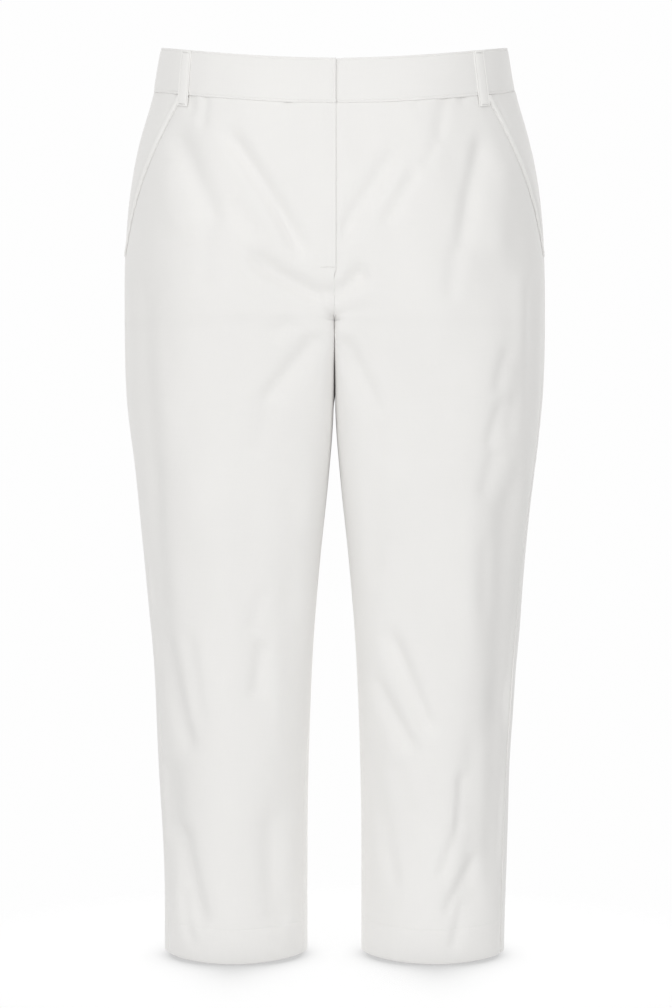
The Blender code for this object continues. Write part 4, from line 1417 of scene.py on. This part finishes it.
def dress_band():
    """The waistband's three pieces, with a row of stitches along both edges and down the right end."""
    top, foot = WAIST_TOP - BAND_STITCH_IN, BAND_SEAM + SEAM_GAP + BAND_STITCH_IN
    for side in SIDES:
        net, sewn = make_band_front_net(side), Stitching()
        start = BAND_STITCH_IN - FLY_OVER if side == "right" else BAND_STITCH_START
        for level in (top, foot):
            end = outline(level).side_seam - BAND_STITCH_SHORT
            sewn.row(*net.on(level, np.linspace(start, end, BAND_PLACES)))
        if side == "right":
            sewn.line(net, np.linspace(top, foot, BAND_END_PLACES), lambda level: start)
        dress(f"waistband_front_{side}", net, CLOTH_COLOUR, sewn)
    nets, sewn = [make_band_back_net(side) for side in SIDES], Stitching()
    for net in nets:
        for level in (top, foot):
            start = outline(level).side_seam + BAND_STITCH_SHORT
            end = outline(level).length - CENTRE_STITCH_SHORT
            sewn.row(*net.on(level, np.linspace(start, end, BAND_PLACES)))
    dress("waistband_back", joined(*nets), CLOTH_COLOUR, sewn)


def loop_stitches(sewn, net, place):
    """Rows of stitches down a belt loop near both edges, and its bar tacks."""
    halved = place == CENTRE_BACK
    inset = LOOP_WIDTH / 2 - LOOP_STITCH_IN
    for way in (-1,) if halved else (-1, 1):
        sewn.line(net, np.linspace(*LOOP_STITCH_LEVELS, LOOP_PLACES),
                  lambda level: loop_centre(place, net.side, level) + way * inset,
                  pitch=LOOP_STITCH_PITCH, length=LOOP_STITCH_LENGTH)
    aside, size = (HALF_LOOP_TACK_ASIDE, HALF_LOOP_TACK) if halved else (0.0, LOOP_TACK)
    for level in (WAIST_TOP - LOOP_TACK_IN[0], LOOP_END + LOOP_TACK_IN[1]):
        sewn.tack(net, level, loop_centre(place, net.side, level) - aside, *size)


def dress_loops():
    """Two belt loops in front, two behind, and one across the centre back in two halves."""
    for side in SIDES:
        for place in ("front", "back"):
            net, sewn = make_loop_net(side, place), Stitching()
            loop_stitches(sewn, net, place)
            # The loops take the cloth's colour lightened as a painted highlight
            dress(f"belt_loop_{place}_{side}", net, LIT_TRIM_COLOUR, sewn)
    nets, sewn = [make_loop_net(side, CENTRE_BACK) for side in SIDES], Stitching()
    for net in nets:
        loop_stitches(sewn, net, CENTRE_BACK)
    dress("belt_loop_centre_back", joined(*nets), LIT_TRIM_COLOUR, sewn)


def hem_shadow(shader, place, sign):
    """How much the floor is dimmed round one hem: an ellipse's shadow, longer in front and behind."""
    shrink = (1.0, 1 / SHADOW_STRETCH, 0.0)
    centre = (sign * HEM_PLACE[0], HEM_PLACE[1] / SHADOW_STRETCH, 0.0)
    inverse = (1 / HEM_REACH[0], SHADOW_STRETCH / HEM_REACH[1], 0.0)
    from_centre = shader.vector("SUBTRACT", shader.vector("MULTIPLY", place, shrink), centre)
    away = shader.vector("LENGTH", from_centre)
    ratio = shader.vector("LENGTH", shader.vector("MULTIPLY", from_centre, inverse))
    beyond = shader.maths("SUBTRACT", away, shader.maths("DIVIDE", away, ratio))
    near = shader.maths("EXPONENT", shader.maths("MULTIPLY", beyond, -1 / SHADOW_RUN))
    return shader.maths("MULTIPLY", shader.maths("MINIMUM", near, 1.0), SHADOW_DEPTH)


def make_floor(level):
    """A partly see-through white disc that glows, but less round the hems, for their soft shadow."""
    bpy.ops.mesh.primitive_circle_add(vertices=FLOOR_SIDES, radius=FLOOR_RADIUS, fill_type="NGON",
                                      location=(0, 0, level))
    floor = bpy.context.object
    floor.name = "floor"
    shader = Shader("floor")
    place = shader.node("ShaderNodeTexCoord").outputs["Object"]
    dimmed = shader.maths("ADD", hem_shadow(shader, place, -1), hem_shadow(shader, place, 1))
    lit = shader.maths("MAXIMUM", shader.maths("SUBTRACT", 1.0, dimmed))
    shader.fill(shader.surface, {
        "Base Color": (FLOOR_PAINT, FLOOR_PAINT, FLOOR_PAINT, 1), "Emission Color": (1, 1, 1, 1),
        "Emission Strength": shader.maths("MULTIPLY", lit, FLOOR_GLOW),
        "Roughness": 1.0, "Specular IOR Level": 0.0})
    fade = shader.node("ShaderNodeMapRange", {
        "Value": shader.vector("LENGTH", place), "From Min": FLOOR_FADE[0], "From Max": FLOOR_FADE[1],
        "To Min": 1 - FLOOR_COVER, "To Max": 1.0}, interpolation_type="SMOOTHSTEP").outputs[0]
    clear = shader.node("ShaderNodeBsdfTransparent").outputs[0]
    mix = shader.node("ShaderNodeMixShader", {0: fade, 1: shader.surface.outputs[0], 2: clear}).outputs[0]
    shader.fill(shader.tree.nodes["Material Output"], {"Surface": mix})
    floor.data.materials.append(shader.material)


def make_world():
    """Soft studio light, dimmer from both sides, behind a backdrop that looks white."""
    world = bpy.data.worlds.new("studio")
    bpy.context.scene.world = world
    world.use_nodes = True
    nodes = Nodes(world.node_tree)
    way = nodes.node("ShaderNodeTexCoord").outputs["Generated"]
    strength = WORLD_LIGHT
    for direction, power in WORLD_LOBES:
        facing = nodes.maths("MAXIMUM", nodes.vector("DOT_PRODUCT", way, direction))
        strength = nodes.maths("MULTIPLY_ADD", facing, power, strength)
    light = nodes.tree.nodes["Background"]
    nodes.fill(light, {"Color": WORLD_COLOUR + (1,), "Strength": strength})
    backdrop = nodes.node("ShaderNodeBackground", {"Color": (1, 1, 1, 1), "Strength": BACKDROP_LIGHT})
    seen = nodes.node("ShaderNodeLightPath").outputs["Is Camera Ray"]
    mix = nodes.node("ShaderNodeMixShader", {0: seen, 1: light.outputs[0], 2: backdrop.outputs[0]})
    nodes.fill(nodes.tree.nodes["World Output"], {"Surface": mix.outputs[0]})


def make_lights():
    for light in LIGHTS:
        row = dict(zip(LIGHT_COLUMNS, light))
        data = bpy.data.lights.new(row["name"], "AREA")
        data.shape = "DISK"
        data.size = row["size"]
        data.energy = row["power"]
        lamp = bpy.data.objects.new(row["name"], data)
        lamp.location = row["place"]
        aim = Vector(row["aim"]) - Vector(row["place"])
        lamp.rotation_euler = aim.to_track_quat("-Z", "Y").to_euler()
        bpy.context.scene.collection.objects.link(lamp)


def make_camera():
    camera = bpy.data.objects.new("camera", bpy.data.cameras.new("camera"))
    camera.location = CAMERA_PLACE
    camera.rotation_euler = (math.radians(90), 0, 0)
    camera.data.lens = CAMERA_LENS
    camera.data.sensor_width = CAMERA_SENSOR
    bpy.context.scene.collection.objects.link(camera)
    bpy.context.scene.camera = camera


THREAD = thread_material()
bpy.context.scene.view_settings.view_transform = "Standard"
make_camera()
make_world()
make_lights()
make_floor(cad_box[0].z - FLOOR_DROP)
for one_side in SIDES:
    dress_panels(one_side)
# The fly shield takes the cloth's colour darkened as painted shade
dress("fly_shield", make_shield_net(), SHADED_INSIDE_COLOUR)
dress_band()
dress_loops()
